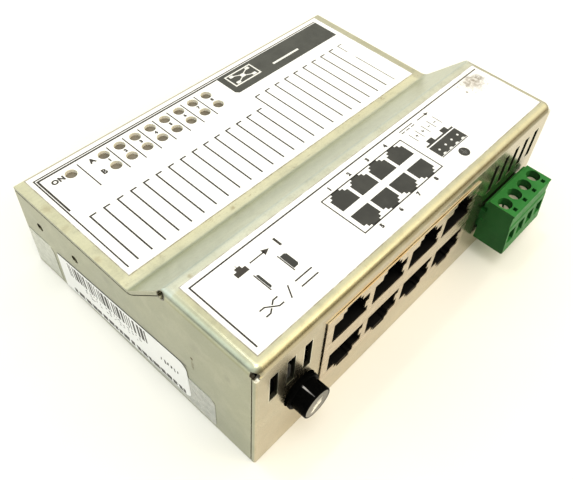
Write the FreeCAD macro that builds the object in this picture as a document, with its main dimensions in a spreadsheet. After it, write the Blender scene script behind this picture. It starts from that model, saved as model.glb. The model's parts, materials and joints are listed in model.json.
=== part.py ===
import FreeCAD, Part
import math
import os
import Sketcher

V = FreeCAD.Vector
doc = FreeCAD.newDocument("ethernet_hub")

# ---------------------------------------------------------------- sizes (mm)
SIZES = [
    # case
    ("case_width", 113.4), ("case_depth", 84.0), ("front_height", 41.6),
    ("rear_height", 28.8), ("valley_y", -2.15), ("sheet", 1.0),
    ("bend_radius", 2.2), ("corner_radius", 2.4), ("valley_radius", 4.0), ("seam_gap", 0.28),
    ("relief_radius", 0.8), ("base_sheet", 1.5), ("base_gap", 0.15),
    # round windows
    ("window_radius", 1.5), ("lone_window_x", -44.17), ("window_x", -34.2),
    ("window_pitch", 5.08), ("window_row_a", 36.0), ("window_row_b", 30.8),
    # vents
    ("vent_width", 2.3), ("vent_bottom", 25.7), ("vent_top", 35.5),
    ("vent_pitch", 5.08), ("vent_left_x", -51.65), ("vent_right_x", 31.1),
    # side holes
    ("side_hole_radius", 1.2), ("side_hole_a", 34.3), ("side_hole_b", 19.9),
    ("side_hole_z", 19.85),
    # socket block
    ("jack_left", -36.1), ("jack_right", 22.35), ("jack_top", 36.3),
    ("jack_depth", 28.0), ("jack_out", 0.35), ("shield_sheet", 0.3), ("jack_gap", 0.35),
    ("port_x", -33.65), ("port_pitch", 13.97), ("port_width", 12.1),
    ("jack_middle", 23.38), ("port_near", 2.75), ("port_far", 9.8),
    ("notch_one", 11.4), ("notch_two", 12.6), ("notch_one_in", 2.65),
    ("notch_two_in", 3.75), ("port_depth", 13.4),
    # circuit board
    ("board_top", 10.5), ("board_thick", 1.6), ("board_half", 53.6),
    ("board_front", -40.6), ("board_rear", 38.5),
    ("spacer_x", 50.0), ("spacer_front", -12.0), ("spacer_rear", 34.0),
    ("case_screw_x", 50.4), ("case_screw_front", -27.0), ("case_screw_rear", 20.0),
    # supply connector
    ("pole_x", 34.25), ("pole_pitch", 5.08), ("plug_top", 22.5),
    ("plug_bottom", 7.2), ("plug_front", 9.2), ("pole_front", 4.66),
    ("screw_hole_radius", 2.05), ("pin_z", 14.8), ("pin_side", 1.0),
    ("header_half", 10.95), ("header_height", 8.6), ("header_front", -40.85), ("header_rear", -30.0),
    ("plug_hole_left", 30.95), ("plug_hole_right", 52.8), ("plug_hole_bottom", 10.2), ("plug_hole_top", 19.6),
    ("cage_lift", 2.0),
    # push button
    ("button_x", -43.0), ("button_z", 18.0), ("button_radius", 4.15),
    ("rim_radius", 4.85), ("button_out", 5.4), ("rim_out", 1.5), ("rim_thick", 0.75),
    ("button_hole", 5.0), ("button_travel", 2.5), ("disc_radius", 3.78),
    # labels
    ("film", 0.1), ("status_left", -53.9), ("status_right", 54.4),
    ("status_front", 0.8), ("status_rear", 41.8), ("port_label_left", -53.5),
    ("port_label_right", 54.3), ("port_label_front", -39.2),
    ("port_label_rear", -16.95),
]
sheet_obj = doc.addObject("Spreadsheet::Sheet", "Dims")
for n, (alias, value) in enumerate(SIZES):
    cell = "B%d" % (n + 1)
    sheet_obj.set("A%d" % (n + 1), alias)
    sheet_obj.set(cell, str(value))
    sheet_obj.setAlias(cell, alias)
doc.recompute()


class Dim:
    """A length with its value and the cell expression that drives it."""

    def __init__(self, value, text):
        self.v = float(value)
        self.t = text

    def _join(self, other, op, swap=False):
        other = as_dim(other)
        a, b = (other, self) if swap else (self, other)
        v = {"+": a.v + b.v, "-": a.v - b.v, "*": a.v * b.v}.get(op)
        if v is None:
            v = a.v / b.v
        return Dim(v, "(%s %s %s)" % (a.t, op, b.t))

    def __add__(self, o):
        return self._join(o, "+")

    def __radd__(self, o):
        return self._join(o, "+", True)

    def __sub__(self, o):
        return self._join(o, "-")

    def __rsub__(self, o):
        return self._join(o, "-", True)

    def __mul__(self, o):
        return self._join(o, "*")

    def __rmul__(self, o):
        return self._join(o, "*", True)

    def __truediv__(self, o):
        return self._join(o, "/")

    def __neg__(self):
        return Dim(-self.v, "(0 - %s)" % self.t)


def as_dim(x):
    return x if isinstance(x, Dim) else Dim(x, repr(round(float(x), 6)))


D = {alias: Dim(value, "Dims." + alias) for alias, value in SIZES}


def bind(obj, prop, x):
    x = as_dim(x)
    if "Dims." in x.t:
        obj.setExpression(prop, x.t)
    return x.v


# ---------------------------------------------------------------- builders
NODES = {}


def keep(name, obj):
    obj.Label = name
    NODES[name] = obj
    return obj


def new_body(name):
    b = doc.addObject("PartDesign::Body", name)
    return b


def plane(b, role):
    for f in b.Origin.OriginFeatures:
        if getattr(f, "Role", "") == role:
            return f
    raise RuntimeError(role)


def sketch(b, role, loops, offset=0.0):
    s = b.newObject("Sketcher::SketchObject", b.Name + "_sketch")
    s.AttachmentSupport = (plane(b, role), [""])
    s.MapMode = "FlatFace"
    off = as_dim(offset)
    s.AttachmentOffset = FreeCAD.Placement(V(0, 0, off.v), FreeCAD.Rotation())
    bind(s, "AttachmentOffset.Base.z", off)
    todo = []
    for loop in loops:
        if loop[0] == "circle":
            _, cx, cy, r = loop
            cx, cy, r = as_dim(cx), as_dim(cy), as_dim(r)
            g = s.addGeometry(Part.Circle(V(cx.v, cy.v, 0), V(0, 0, 1), r.v), False)
            todo.append((("DistanceX", -1, 1, g, 3, cx.v), cx))
            todo.append((("DistanceY", -1, 1, g, 3, cy.v), cy))
            todo.append((("Radius", g, r.v), r))
        else:
            pts = [(as_dim(x), as_dim(y)) for x, y in loop[1]]
            first = None
            ids = []
            for i, (x, y) in enumerate(pts):
                x2, y2 = pts[(i + 1) % len(pts)]
                ids.append(s.addGeometry(Part.LineSegment(V(x.v, y.v, 0), V(x2.v, y2.v, 0)), False))
            for i in range(len(ids)):
                s.addConstraint(Sketcher.Constraint("Coincident", ids[i], 2, ids[(i + 1) % len(ids)], 1))
            for i, (x, y) in enumerate(pts):
                todo.append((("DistanceX", -1, 1, ids[i], 1, x.v), x))
                todo.append((("DistanceY", -1, 1, ids[i], 1, y.v), y))
    for args, dim in todo:
        k = s.addConstraint(Sketcher.Constraint(*args))
        if "Dims." in dim.t:
            s.setExpression("Constraints[%d]" % k, dim.t)
    return s


def rect(x0, x1, y0, y1):
    return ("poly", [(x0, y0), (x1, y0), (x1, y1), (x0, y1)])


def feature(b, kind, sk, length, reverse=False):
    f = b.newObject("PartDesign::" + kind, b.Name + "_" + kind.lower())
    f.Profile = sk
    f.Length = as_dim(length).v
    bind(f, "Length", length)
    f.Reversed = reverse
    b.Tip = f
    doc.recompute()
    return f


def pad(b, sk, length, reverse=False):
    return feature(b, "Pad", sk, length, reverse)


def pocket(b, sk, length, reverse=False):
    before = b.Shape.Volume
    f = feature(b, "Pocket", sk, length, reverse)
    if not b.Shape.Volume < before - 1e-6:
        raise RuntimeError("pocket removed nothing in " + b.Name)
    return f


def edges_where(shape, test):
    out = []
    for i, e in enumerate(shape.Edges):
        bb = e.BoundBox
        if test(bb):
            out.append("Edge%d" % (i + 1))
    return out


def near(a, b, tol=0.02):
    return abs(a - b) < tol


def fillet(b, names, radius):
    base = b.Tip
    f = b.newObject("PartDesign::Fillet", b.Name + "_fillet")
    f.Base = (base, names)
    f.Radius = as_dim(radius).v
    bind(f, "Radius", radius)
    b.Tip = f
    doc.recompute()
    return f


def chamfer(b, names, size):
    base = b.Tip
    f = b.newObject("PartDesign::Chamfer", b.Name + "_chamfer")
    f.Base = (base, names)
    f.Size = as_dim(size).v
    bind(f, "Size", size)
    b.Tip = f
    doc.recompute()
    return f


def shell(b, face_test, thick):
    base = b.Tip
    faces = ["Face%d" % (i + 1) for i, f in enumerate(base.Shape.Faces) if face_test(f.BoundBox)]
    f = b.newObject("PartDesign::Thickness", b.Name + "_shell")
    f.Base = (base, faces)
    f.Value = as_dim(thick).v
    bind(f, "Value", thick)
    f.Reversed = True
    f.Join = 1
    b.Tip = f
    doc.recompute()
    return f


def pattern_x(b, feats, length, count):
    p = b.newObject("PartDesign::LinearPattern", b.Name + "_pattern")
    p.Originals = feats
    p.Direction = (plane_axis(b, "X_Axis"), [""])
    p.Length = as_dim(length).v
    bind(p, "Length", length)
    p.Occurrences = count
    b.Tip = p
    doc.recompute()
    return p


def plane_axis(b, role):
    return plane(b, role)


def box(x0, x1, y0, y1, z0, z1, name="block"):
    o = doc.addObject("Part::Box", name)
    for prop, lo, hi in (("Length", x0, x1), ("Width", y0, y1), ("Height", z0, z1)):
        size = as_dim(hi) - as_dim(lo)
        setattr(o, prop, size.v)
        bind(o, prop, size)
    place(o, x0, y0, z0)
    return o


def place(o, x, y, z, rot=None):
    o.Placement = FreeCAD.Placement(V(as_dim(x).v, as_dim(y).v, as_dim(z).v), rot or FreeCAD.Rotation())
    bind(o, "Placement.Base.x", x)
    bind(o, "Placement.Base.y", y)
    bind(o, "Placement.Base.z", z)


TO_FRONT = FreeCAD.Rotation(V(1, 0, 0), 90)  # local +Z turned to -Y


def cyl(x, y, z, r, length, rot=None, name="round"):
    o = doc.addObject("Part::Cylinder", name)
    o.Radius = as_dim(r).v
    o.Height = as_dim(length).v
    bind(o, "Radius", r)
    bind(o, "Height", length)
    place(o, x, y, z, rot)
    return o


def cone(x, y, z, r1, r2, length, name="cone"):
    o = doc.addObject("Part::Cone", name)
    o.Radius1, o.Radius2, o.Height = as_dim(r1).v, as_dim(r2).v, as_dim(length).v
    bind(o, "Radius1", r1)
    bind(o, "Radius2", r2)
    bind(o, "Height", length)
    place(o, x, y, z)
    return o


def prism(x, y, z, r, length, sides=6, name="prism"):
    o = doc.addObject("Part::Prism", name)
    o.Polygon = sides
    o.Circumradius = as_dim(r).v
    o.Height = as_dim(length).v
    bind(o, "Circumradius", r)
    bind(o, "Height", length)
    place(o, x, y, z)
    return o


def fuse(objs, name="joined"):
    if len(objs) == 1:
        return objs[0]
    o = doc.addObject("Part::MultiFuse", name)
    o.Shapes = objs
    return o


def cut(base, tools, name="cut"):
    o = doc.addObject("Part::Cut", name)
    o.Base = base
    o.Tool = fuse(tools)
    return o


def group(objs, name="group"):
    o = doc.addObject("Part::Compound", name)
    o.Links = objs
    return o


# ---------------------------------------------------------------- common places
W2 = D["case_width"] / 2
D2 = D["case_depth"] / 2
H1 = D["front_height"]
H2 = D["rear_height"]
T = D["sheet"]
G = D["seam_gap"]
YV = D["valley_y"]
YT = YV - (H1 - H2)          # ramp at 45 degrees
FRONT = -D2                  # outer face of the front wall
WINDOWS = [(D["lone_window_x"], D["window_row_a"])]
for i in range(8):
    WINDOWS.append((D["window_x"] + D["window_pitch"] * i, D["window_row_a"]))
for i in range(8):
    WINDOWS.append((D["window_x"] + D["window_pitch"] * i, D["window_row_b"]))
POLES = [D["pole_x"] + D["pole_pitch"] * i for i in range(4)]
PLUG_MID = D["pole_x"] + D["pole_pitch"] * 1.5
BT = D["board_top"]
BB = D["board_top"] - D["board_thick"]

# ---------------------------------------------------------------- case cover
cover = new_body("case_cover")
profile = [(-D2, 0), (D2, 0), (D2, H2), (YV, H2), (YT, H1), (-D2, H1)]
pad(cover, sketch(cover, "YZ_Plane", [("poly", profile)], -W2), D["case_width"])
w2, d2, h1, h2 = W2.v, D2.v, H1.v, H2.v
yt, yv = YT.v, YV.v
CR = D["corner_radius"]
fillet(cover, edges_where(cover.Tip.Shape, lambda b: b.ZLength > 20 and near(b.YMin, -d2) and near(b.YMax, -d2)), CR)
fillet(cover, edges_where(cover.Tip.Shape, lambda b: near(b.YMin, yv) and near(b.YMax, yv) and near(b.ZMin, h2)
                          and near(b.ZMax, h2) and b.XLength > 50), D["valley_radius"])
fillet(cover, edges_where(cover.Tip.Shape, lambda b: near(b.ZMin, h1) and near(b.ZMax, h1)
                          and ((b.XLength > 50 and (near(b.YMin, -d2) or near(b.YMin, yt)))
                               or (b.YLength > 20 and near(abs(b.XMin), w2)))), D["bend_radius"])
pad(cover, sketch(cover, "XY_Plane", [rect(-W2, -W2 + CR, FRONT, FRONT + CR), rect(W2 - CR, W2, FRONT, FRONT + CR)], 0),
    H1 - 2.35)
# hollow, open below and to the rear
k = 0.41421356
inner = [(FRONT + T, -1), (D2 + 1, -1), (D2 + 1, H2 - T), (YV - T * k, H2 - T), (YT - T * k, H1 - T), (FRONT + T, H1 - T)]
pocket(cover, sketch(cover, "YZ_Plane", [("poly", inner)], W2 - T), D["case_width"] - T * 2)
iy, iv, it_, iw = (FRONT + T).v, (YV - T * k).v, (YT - T * k).v, (W2 - T).v
fillet(cover, edges_where(cover.Tip.Shape, lambda b: b.XLength > 50 and near(b.YMin, iv) and near(b.YMax, iv)
                          and near(b.ZMin, h2 - T.v)), D["valley_radius"] + T)
fillet(cover, edges_where(cover.Tip.Shape, lambda b: near(b.ZMin, h1 - T.v) and near(b.ZMax, h1 - T.v)
                          and ((b.XLength > 50 and (near(b.YMin, iy) or near(b.YMin, it_)))
                               or (b.YLength > 20 and near(abs(b.XMin), iw)))), D["bend_radius"] - T)

# seam between the rear top and the side walls, up the slope
ye = YT + 0.9
band = []
for d in (T, T + G):
    vy, vz, vr = YV - d * k, H2 - d, D["valley_radius"] + d
    vt = vr * k
    band.append([(D2 + 1, vz), (vy + vt, vz), (vy + vt - vr * 0.19509, vz + vr * 0.019215),
                 (vy + vt - vr * 0.382683, vz + vr * 0.07612), (vy + vt - vr * 0.55557, vz + vr * 0.16853),
                 (vy - vt * 0.707107, vz + vt * 0.707107), (ye, vz + vy - ye)])
loop = ("poly", band[0] + band[1][::-1])
pocket(cover, sketch(cover, "YZ_Plane", [loop], -W2 - 0.5), T + 0.5, True)
pocket(cover, sketch(cover, "YZ_Plane", [loop], W2 + 0.5), T + 0.5)
# seams at the two front corners
corner = [rect(-W2 - 0.5, -W2 + T, FRONT + T, FRONT + T + G), rect(W2 - T, W2 + 0.5, FRONT + T, FRONT + T + G)]
pocket(cover, sketch(cover, "XY_Plane", corner, -0.5), H1 - 1.8, True)
# upright edges of the front wall
fillet(cover, edges_where(cover.Tip.Shape, lambda b: b.ZLength > 20 and near(b.YMin, -d2) and near(b.YMax, -d2)
                          and near(abs(b.XMin), w2) and b.XLength < 0.01), 0.6)
# relief holes where bends meet
rel = D["relief_radius"]
pocket(cover, sketch(cover, "XZ_Plane", [("circle", -W2 + 0.6, H1 - 1.75, rel - 0.05), ("circle", W2 - 0.6, H1 - 1.75, rel - 0.05)],
                     D2 + 0.5), 2.3)
for side in (-1, 1):
    sk = sketch(cover, "YZ_Plane", [("circle", YT + 0.1, H1 - 1.6, rel + 0.1)], (W2 + 0.5) * side)
    pocket(cover, sk, 2.9, side < 0)
# openings of the front wall
loops = [
    rect(D["jack_left"] - D["jack_gap"], D["jack_right"] + D["jack_gap"], BT - 0.15, D["jack_top"] + D["jack_gap"]),
    rect(D["plug_hole_left"], D["plug_hole_right"], D["plug_hole_bottom"], D["plug_hole_top"]),
    ("circle", D["button_x"], D["button_z"], D["button_hole"]),
]
for i in range(3):
    x = D["vent_left_x"] + D["vent_pitch"] * i
    loops.append(rect(x - D["vent_width"] / 2, x + D["vent_width"] / 2, D["vent_bottom"], D["vent_top"]))
for i in range(5):
    x = D["vent_right_x"] + D["vent_pitch"] * i
    loops.append(rect(x - D["vent_width"] / 2, x + D["vent_width"] / 2, D["vent_bottom"], D["vent_top"]))
pocket(cover, sketch(cover, "XZ_Plane", loops, D2 + 0.5), T + 0.7)
# round windows of the rear top
pocket(cover, sketch(cover, "XY_Plane", [("circle", x, y, D["window_radius"]) for x, y in WINDOWS], H2 + 0.5), T + 0.8)
# two small holes in the left wall
pocket(cover, sketch(cover, "YZ_Plane", [("circle", D["side_hole_a"], D["side_hole_z"], D["side_hole_radius"]),
                                         ("circle", D["side_hole_b"], D["side_hole_z"], D["side_hole_radius"])],
                     -W2 - 0.5), T + 0.8, True)
# inward tabs that take the case screws
tab_z = D["base_sheet"] + 0.1
tabs, holes = [], []
for sx in (-1, 1):
    for y in (D["case_screw_front"], D["case_screw_rear"]):
        a, b = (W2 - T / 2) * sx, (D["case_screw_x"] - 4.2) * sx
        lo, hi = (a, b) if sx < 0 else (b, a)
        tabs.append(rect(lo, hi, y - 5, y + 5))
        holes.append(("circle", D["case_screw_x"] * sx, y, 1.55))
pad(cover, sketch(cover, "XY_Plane", tabs, tab_z), T)
pocket(cover, sketch(cover, "XY_Plane", holes, tab_z + T + 0.5), T + 1)
keep("case_cover", cover)

# ---------------------------------------------------------------- base plate with rear wall
base = new_body("base_plate")
bx = W2 - T - D["base_gap"]
bs = D["base_sheet"]
lprof = [(FRONT + T + 0.15, 0), (D2, 0), (D2, H2 - T - 0.15), (D2 - bs, H2 - T - 0.15), (D2 - bs, bs),
         (FRONT + T + 0.15, bs)]
pad(base, sketch(base, "YZ_Plane", [("poly", lprof)], -bx), bx * 2)
fillet(base, edges_where(base.Tip.Shape, lambda b: b.XLength > 50 and near(b.YMin, d2 - bs.v) and near(b.ZMin, bs.v)), 0.8)
fillet(base, edges_where(base.Tip.Shape, lambda b: b.XLength > 50 and near(b.YMin, d2) and near(b.ZMin, 0)), 2.3)
screw_xy = [(D["case_screw_x"] * sx, y) for sx in (-1, 1) for y in (D["case_screw_front"], D["case_screw_rear"])]
pocket(base, sketch(base, "XY_Plane", [("circle", x, y, 1.6) for x, y in screw_xy], bs + 0.5), bs + 1)
chamfer(base, edges_where(base.Tip.Shape, lambda b: near(b.ZMax, 0) and near(b.ZMin, 0) and near(b.XLength, 3.2, 0.05)
                          and near(b.YLength, 3.2, 0.05)), 1.25)
keep("base_plate", base)

# countersunk case screws
items = []
for x, y in screw_xy:
    head = cone(x, y, 0.05, 2.7, 1.45, 1.25)
    shank = cyl(x, y, 1.3, 1.45, 4.2)
    slot_a = box(x - 1.5, x + 1.5, y - 0.3, y + 0.3, -0.5, 0.75)
    slot_b = box(x - 0.3, x + 0.3, y - 1.5, y + 1.5, -0.5, 0.75)
    items.append(cut(fuse([head, shank]), [slot_a, slot_b]))
keep("case_screws", group(items))

# ---------------------------------------------------------------- circuit board
board = new_body("main_board")
bh = D["board_half"]
pad(board, sketch(board, "XY_Plane", [rect(-bh, bh, D["board_front"], D["board_rear"])], BB), D["board_thick"])
spacers = [(D["spacer_x"] * sx, y) for sx in (-1, 1) for y in (D["spacer_front"], D["spacer_rear"])]
switch_pins = [(D["button_x"] + dx, -32.5 + dy) for dx in (-2.5, 2.5) for dy in (0.0, 4.0, 8.0)]
holes = [("circle", x, y, 1.7) for x, y in spacers]
holes += [("circle", x, -28.75, 0.9) for x in POLES]
holes += [("circle", x, y, 0.7) for x, y in switch_pins]
legs = [(D["jack_left"] + 0.15, -36.0), (D["jack_left"] + 0.15, -20.0), (D["jack_right"] - 0.15, -36.0),
        (D["jack_right"] - 0.15, -20.0)]
holes += [("circle", x, y, 1.1) for x, y in legs]
pocket(board, sketch(board, "XY_Plane", holes, BT + 0.5), D["board_thick"] + 1)
keep("main_board", board)

items = []
for x, y in spacers:
    items.append(cut(prism(x, y, bs, 2.9, BB - bs), [cyl(x, y, bs - 0.5, 1.25, BB - bs + 1)]))
keep("board_spacers", group(items))
items = []
for x, y in spacers:
    head = cut(cyl(x, y, BT, 2.8, 2.0), [box(x - 1.6, x + 1.6, y - 0.3, y + 0.3, BT + 1.0, BT + 2.5),
                                         box(x - 0.3, x + 0.3, y - 1.6, y + 1.6, BT + 1.0, BT + 2.5)])
    items.append(fuse([head, cyl(x, y, bs + 1.0, 1.2, BT - bs)]))
keep("board_screws", group(items))

# ---------------------------------------------------------------- socket block
JL, JR, JT = D["jack_left"], D["jack_right"], D["jack_top"]
JF = FRONT - D["jack_out"]    # face of the socket block
SS = D["shield_sheet"]
JM = D["jack_middle"]


def port_loop(x, up, inset, deepest):
    s = 1 if up else -1
    n, f = D["port_near"] + inset, D["port_far"] - inset
    w = D["port_width"]
    x0, x1 = x + inset, x + w - inset
    a, b = x + D["notch_one_in"] + inset, x + w - D["notch_one_in"] - inset
    c, e = x + D["notch_two_in"] + inset, x + w - D["notch_two_in"] - inset
    z1, z2 = D["notch_one"] - inset, deepest
    pts = [(x0, n), (x1, n), (x1, f), (b, f), (b, z1), (e, z1), (e, z2), (c, z2), (c, z1), (a, z1), (a, f), (x0, f)]
    pts = [(px, JM + pz * s) for px, pz in pts]
    return ("poly", pts if up else pts[::-1])


shield = new_body("jack_shield")
pad(shield, sketch(shield, "XY_Plane", [rect(JL, JR, JF, JF + D["jack_depth"])], BT), JT - BT)
shell(shield, lambda b: near(b.ZMax, BT.v) and near(b.ZMin, BT.v), SS)
f = pocket(shield, sketch(shield, "XZ_Plane", [port_loop(D["port_x"], True, 0.0, D["notch_two"]),
                                               port_loop(D["port_x"], False, 0.0, D["notch_two"])], -JF + 0.5), 0.9)
pattern_x(shield, [f], D["port_pitch"] * 3, 4)
# spring fingers at the right side of every opening
px = D["port_x"] + D["port_width"]
fing = pad(shield, sketch(shield, "XZ_Plane", [rect(px - 1.05, px + 0.2, JM + 4.9, JM + 7.3),
                                               rect(px - 1.05, px + 0.2, JM - 7.0, JM - 4.6)], -JF - SS), SS)
pattern_x(shield, [fing], D["port_pitch"] * 3, 4)
# solder legs
pad(shield, sketch(shield, "XY_Plane", [rect(x - 0.15, x + 0.15, y - 0.7, y + 0.7) for x, y in legs], BB - 1.6),
    D["board_thick"] + 2.0)
keep("jack_shield", shield)

housing = new_body("jack_housing")
hx0, hx1 = JL + SS + 0.05, JR - SS - 0.05
hy0, hy1 = JF + SS + 0.05, JF + D["jack_depth"] - SS - 0.05
hz1 = JT - SS - 0.05
pad(housing, sketch(housing, "XY_Plane", [rect(hx0, hx1, hy0, hy1)], BT), hz1 - BT)
f = pocket(housing, sketch(housing, "XZ_Plane", [port_loop(D["port_x"], True, 0.1, 12.0),
                                                 port_loop(D["port_x"], False, 0.1, 12.0)], -hy0 + 0.5),
           D["port_depth"] + 0.5)
# pocket that clears the spring finger
g = pocket(housing, sketch(housing, "XZ_Plane", [rect(px - 1.4, px + 0.35, JM + 4.7, JM + 7.5),
                                                 rect(px - 1.4, px + 0.35, JM - 7.4, JM - 4.4)], -hy0 + 0.5), 3.5)
pattern_x(housing, [f, g], D["port_pitch"] * 3, 4)
keep("jack_housing", housing)

# contact springs: eight in each socket, rooted in the rear wall of the cavity


def cell(alias):
    return float(sheet_obj.get(alias))


back = -cell("case_depth") / 2 - cell("jack_out") + cell("shield_sheet") + 0.05 + cell("port_depth")
solids = []
for i in range(4):
    mid = cell("port_x") + cell("port_width") / 2 + i * cell("port_pitch")
    for s in (1, -1):
        near_z = cell("jack_middle") + s * (cell("port_near") + 0.1)
        for j in range(8):
            cx = mid + (j - 3.5) * 1.02
            pts = [(back, 2.35), (back - 1.2, 2.35), (back - 9.4, 0.75), (back - 10.2, 0.35), (back - 10.2, 0.1),
                   (back - 9.3, 0.4), (back - 1.1, 2.0), (back, 2.0)]
            wire = Part.makePolygon([V(cx - 0.18, y, near_z + s * z) for y, z in pts + pts[:1]])
            solids.append(Part.Face(wire).extrude(V(0.36, 0, 0)))
contacts = doc.addObject("Part::Feature", "jack_contacts")
contacts.Shape = Part.makeCompound(solids)
keep("jack_contacts", contacts)

# ---------------------------------------------------------------- supply header, pins, plug
header = new_body("supply_header")
hh = D["header_half"]
HT = BT + D["header_height"]
HF, HR = D["header_front"], D["header_rear"]
pad(header, sketch(header, "XY_Plane", [rect(PLUG_MID - hh, PLUG_MID + hh, HF, HR)], BT), HT - BT)
pocket(header, sketch(header, "XZ_Plane", [rect(PLUG_MID - 10.1, PLUG_MID + 10.1, BT + 0.95, HT - 0.9)], -HF + 0.5), 8.35)
pocket(header, sketch(header, "XZ_Plane", [rect(x - 0.55, x + 0.55, D["pin_z"] - 0.55, D["pin_z"] + 0.55) for x in POLES],
                      -HR + 4), 5)
# latch slots in the top edge
pocket(header, sketch(header, "XY_Plane", [rect(x - 1.0, x + 1.0, HF - 0.5, HF + 2.4) for x in POLES], HT + 0.5), 0.9)
keep("supply_header", header)

items = []
pz = D["pin_z"]
for x in POLES:
    items.append(fuse([box(x - 0.5, x + 0.5, FRONT + 2.0, -28.25, pz - 0.5, pz + 0.5),
                       box(x - 0.5, x + 0.5, -29.25, -28.25, BB - 2.0, pz + 0.5)]))
keep("supply_pins", group(items))

plug = new_body("plug_housing")
pt, pb = D["plug_top"], D["plug_bottom"]
pf = D["plug_front"]
prof = [(1.28, pt), (pf, pt), (pf, pt - 0.6), (pf - 0.2, pt - 0.8), (pf - 0.1, 17.75), (pf + 0.12, 17.4),
        (pf + 0.95, pb + 0.45), (pf + 0.5, pb), (0.5, pb), (0.5, 15.0), (1.5, 15.0), (1.5, 19.8), (0.4, 19.8),
        (0.4, 21.4), (1.28, 21.7)]
pad(plug, sketch(plug, "YZ_Plane", [("poly", [(FRONT - y, z) for y, z in prof][::-1])], POLES[0] - D["pole_pitch"] / 2),
    D["pole_pitch"] * 4)
# mating tongue and its neck
pad(plug, sketch(plug, "XZ_Plane", [rect(PLUG_MID - 9.9, PLUG_MID + 9.9, BT + 1.2, HT - 1.15)], D2 - 7.2), 6.6)
pad(plug, sketch(plug, "XZ_Plane", [rect(PLUG_MID - 9.9, PLUG_MID + 9.9, BT + 1.2, HT - 1.15)], D2 - 1.0), 3.0)
PY = FRONT - D["pole_front"]     # screw axis
pocket(plug, sketch(plug, "XY_Plane", [("circle", x, PY, D["screw_hole_radius"]) for x in POLES], pt + 0.5), pt - 17.9 + 0.5)
pocket(plug, sketch(plug, "XY_Plane", [rect(x - 2.2, x + 2.2, FRONT - 7.25, FRONT - 2.2) for x in POLES], 9.2), 8.8, True)
pocket(plug, sketch(plug, "XY_Plane", [rect(x - 0.55, x + 0.75, FRONT - 8.35, FRONT - 7.15) for x in POLES], pt + 0.5), 3.0)
pocket(plug, sketch(plug, "XZ_Plane", [rect(x - 1.65, x + 1.65, 10.9, 15.6) for x in POLES], D2 + 10.5), 4.0)
pocket(plug, sketch(plug, "XZ_Plane", [rect(x - 1.45, x + 1.45, pz - 1.45, pz + 1.45) for x in POLES], D2 + 3.0), 11.0)
keep("plug_housing", plug)

items = []
for x in POLES:
    tube = cut(box(x - 1.3, x + 1.3, FRONT - 1.6, FRONT + 7.0, pz - 1.3, pz + 1.3),
               [box(x - 0.6, x + 0.6, FRONT - 1.0, FRONT + 8.0, pz - 0.6, pz + 0.6)])
    items.append(fuse([tube, box(x - 1.15, x + 1.15, FRONT - 7.0, FRONT - 1.6, 14.4, 15.0)]))
keep("plug_contacts", group(items))

SLOT_ANGLES = (28.0, 96.0, 62.0, 131.0)
for i, x in enumerate(POLES):
    head = cut(cyl(0, 0, 3.0, 1.75, 2.1), [box(-2.0, 2.0, -0.3, 0.3, 4.1, 5.5)])
    screw = fuse([head, cyl(0, 0, 0, 1.4, 3.0)])
    place(screw, x, PY, 15.1, FreeCAD.Rotation(V(0, 0, 1), SLOT_ANGLES[i]))
    keep("clamp_screw_%d" % (i + 1), screw)
    frame = cut(box(x - 2.0, x + 2.0, PY - 2.1, PY + 2.1, 9.4, 15.9),
                [box(x - 1.5, x + 1.5, PY - 3, PY + 3, 10.1, 15.2), cyl(x, PY, 14.5, 1.46, 2.0)])
    keep("clamp_cage_%d" % (i + 1), frame)

# ---------------------------------------------------------------- push button and switch
BX, BZ = D["button_x"], D["button_z"]
end_y = FRONT - D["button_out"]
cap = new_body("button_cap")
pad(cap, sketch(cap, "XZ_Plane", [("circle", BX, BZ, D["button_radius"])], D2 - 1.6), D["button_out"] + 1.6)
pad(cap, sketch(cap, "XZ_Plane", [("circle", BX, BZ, D["rim_radius"])], D2 + D["rim_out"] - D["rim_thick"]), D["rim_thick"])
pocket(cap, sketch(cap, "XZ_Plane", [("circle", BX, BZ, D["disc_radius"] + 0.03)], D2 + D["button_out"]), 0.6)
pocket(cap, sketch(cap, "XZ_Plane", [rect(BX - 2.05, BX + 2.05, BZ - 2.05, BZ + 2.05)], D2 - 1.6), 3.6, True)
ey = end_y.v
fillet(cap, edges_where(cap.Tip.Shape, lambda b: near(b.YMin, ey) and near(b.YMax, ey) and b.XLength > 2 * D["disc_radius"].v + 0.3), 0.28)
ry = (FRONT - D["rim_out"]).v
fillet(cap, edges_where(cap.Tip.Shape, lambda b: near(b.YMin, ry) and near(b.YMax, ry) and near(b.XLength, 2 * D["rim_radius"].v, 0.05)), 0.25)
keep("button_cap", cap)

disc = new_body("button_insert")
pad(disc, sketch(disc, "XZ_Plane", [("circle", BX, BZ, D["disc_radius"])], D2 + D["button_out"] - 0.6), 0.57)
dy = (FRONT - D["button_out"] + 0.03).v
fillet(disc, edges_where(disc.Tip.Shape, lambda b: near(b.YMin, dy) and near(b.YMax, dy)), 0.1)
keep("button_insert", disc)

sw = new_body("switch_body")
pad(sw, sketch(sw, "XY_Plane", [rect(BX - 5.0, BX + 5.0, -37.0, -22.5)], BT), BZ + 5.0 - BT)
pocket(sw, sketch(sw, "XZ_Plane", [rect(BX - 2.2, BX + 2.2, BZ - 2.2, BZ + 2.2)], 37.5), 12.5)
chamfer(sw, edges_where(sw.Tip.Shape, lambda b: b.ZLength > 10 and (near(b.YMin, -37.0) or near(b.YMin, -22.5))), 0.6)
keep("switch_body", sw)

plunger = fuse([box(BX - 2.0, BX + 2.0, FRONT - 2.0, -33.0, BZ - 2.0, BZ + 2.0),
                cyl(BX, -33.0, BZ, 0.75, 1.5, FreeCAD.Rotation(V(1, 0, 0), -90))])
keep("switch_plunger", plunger)

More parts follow.
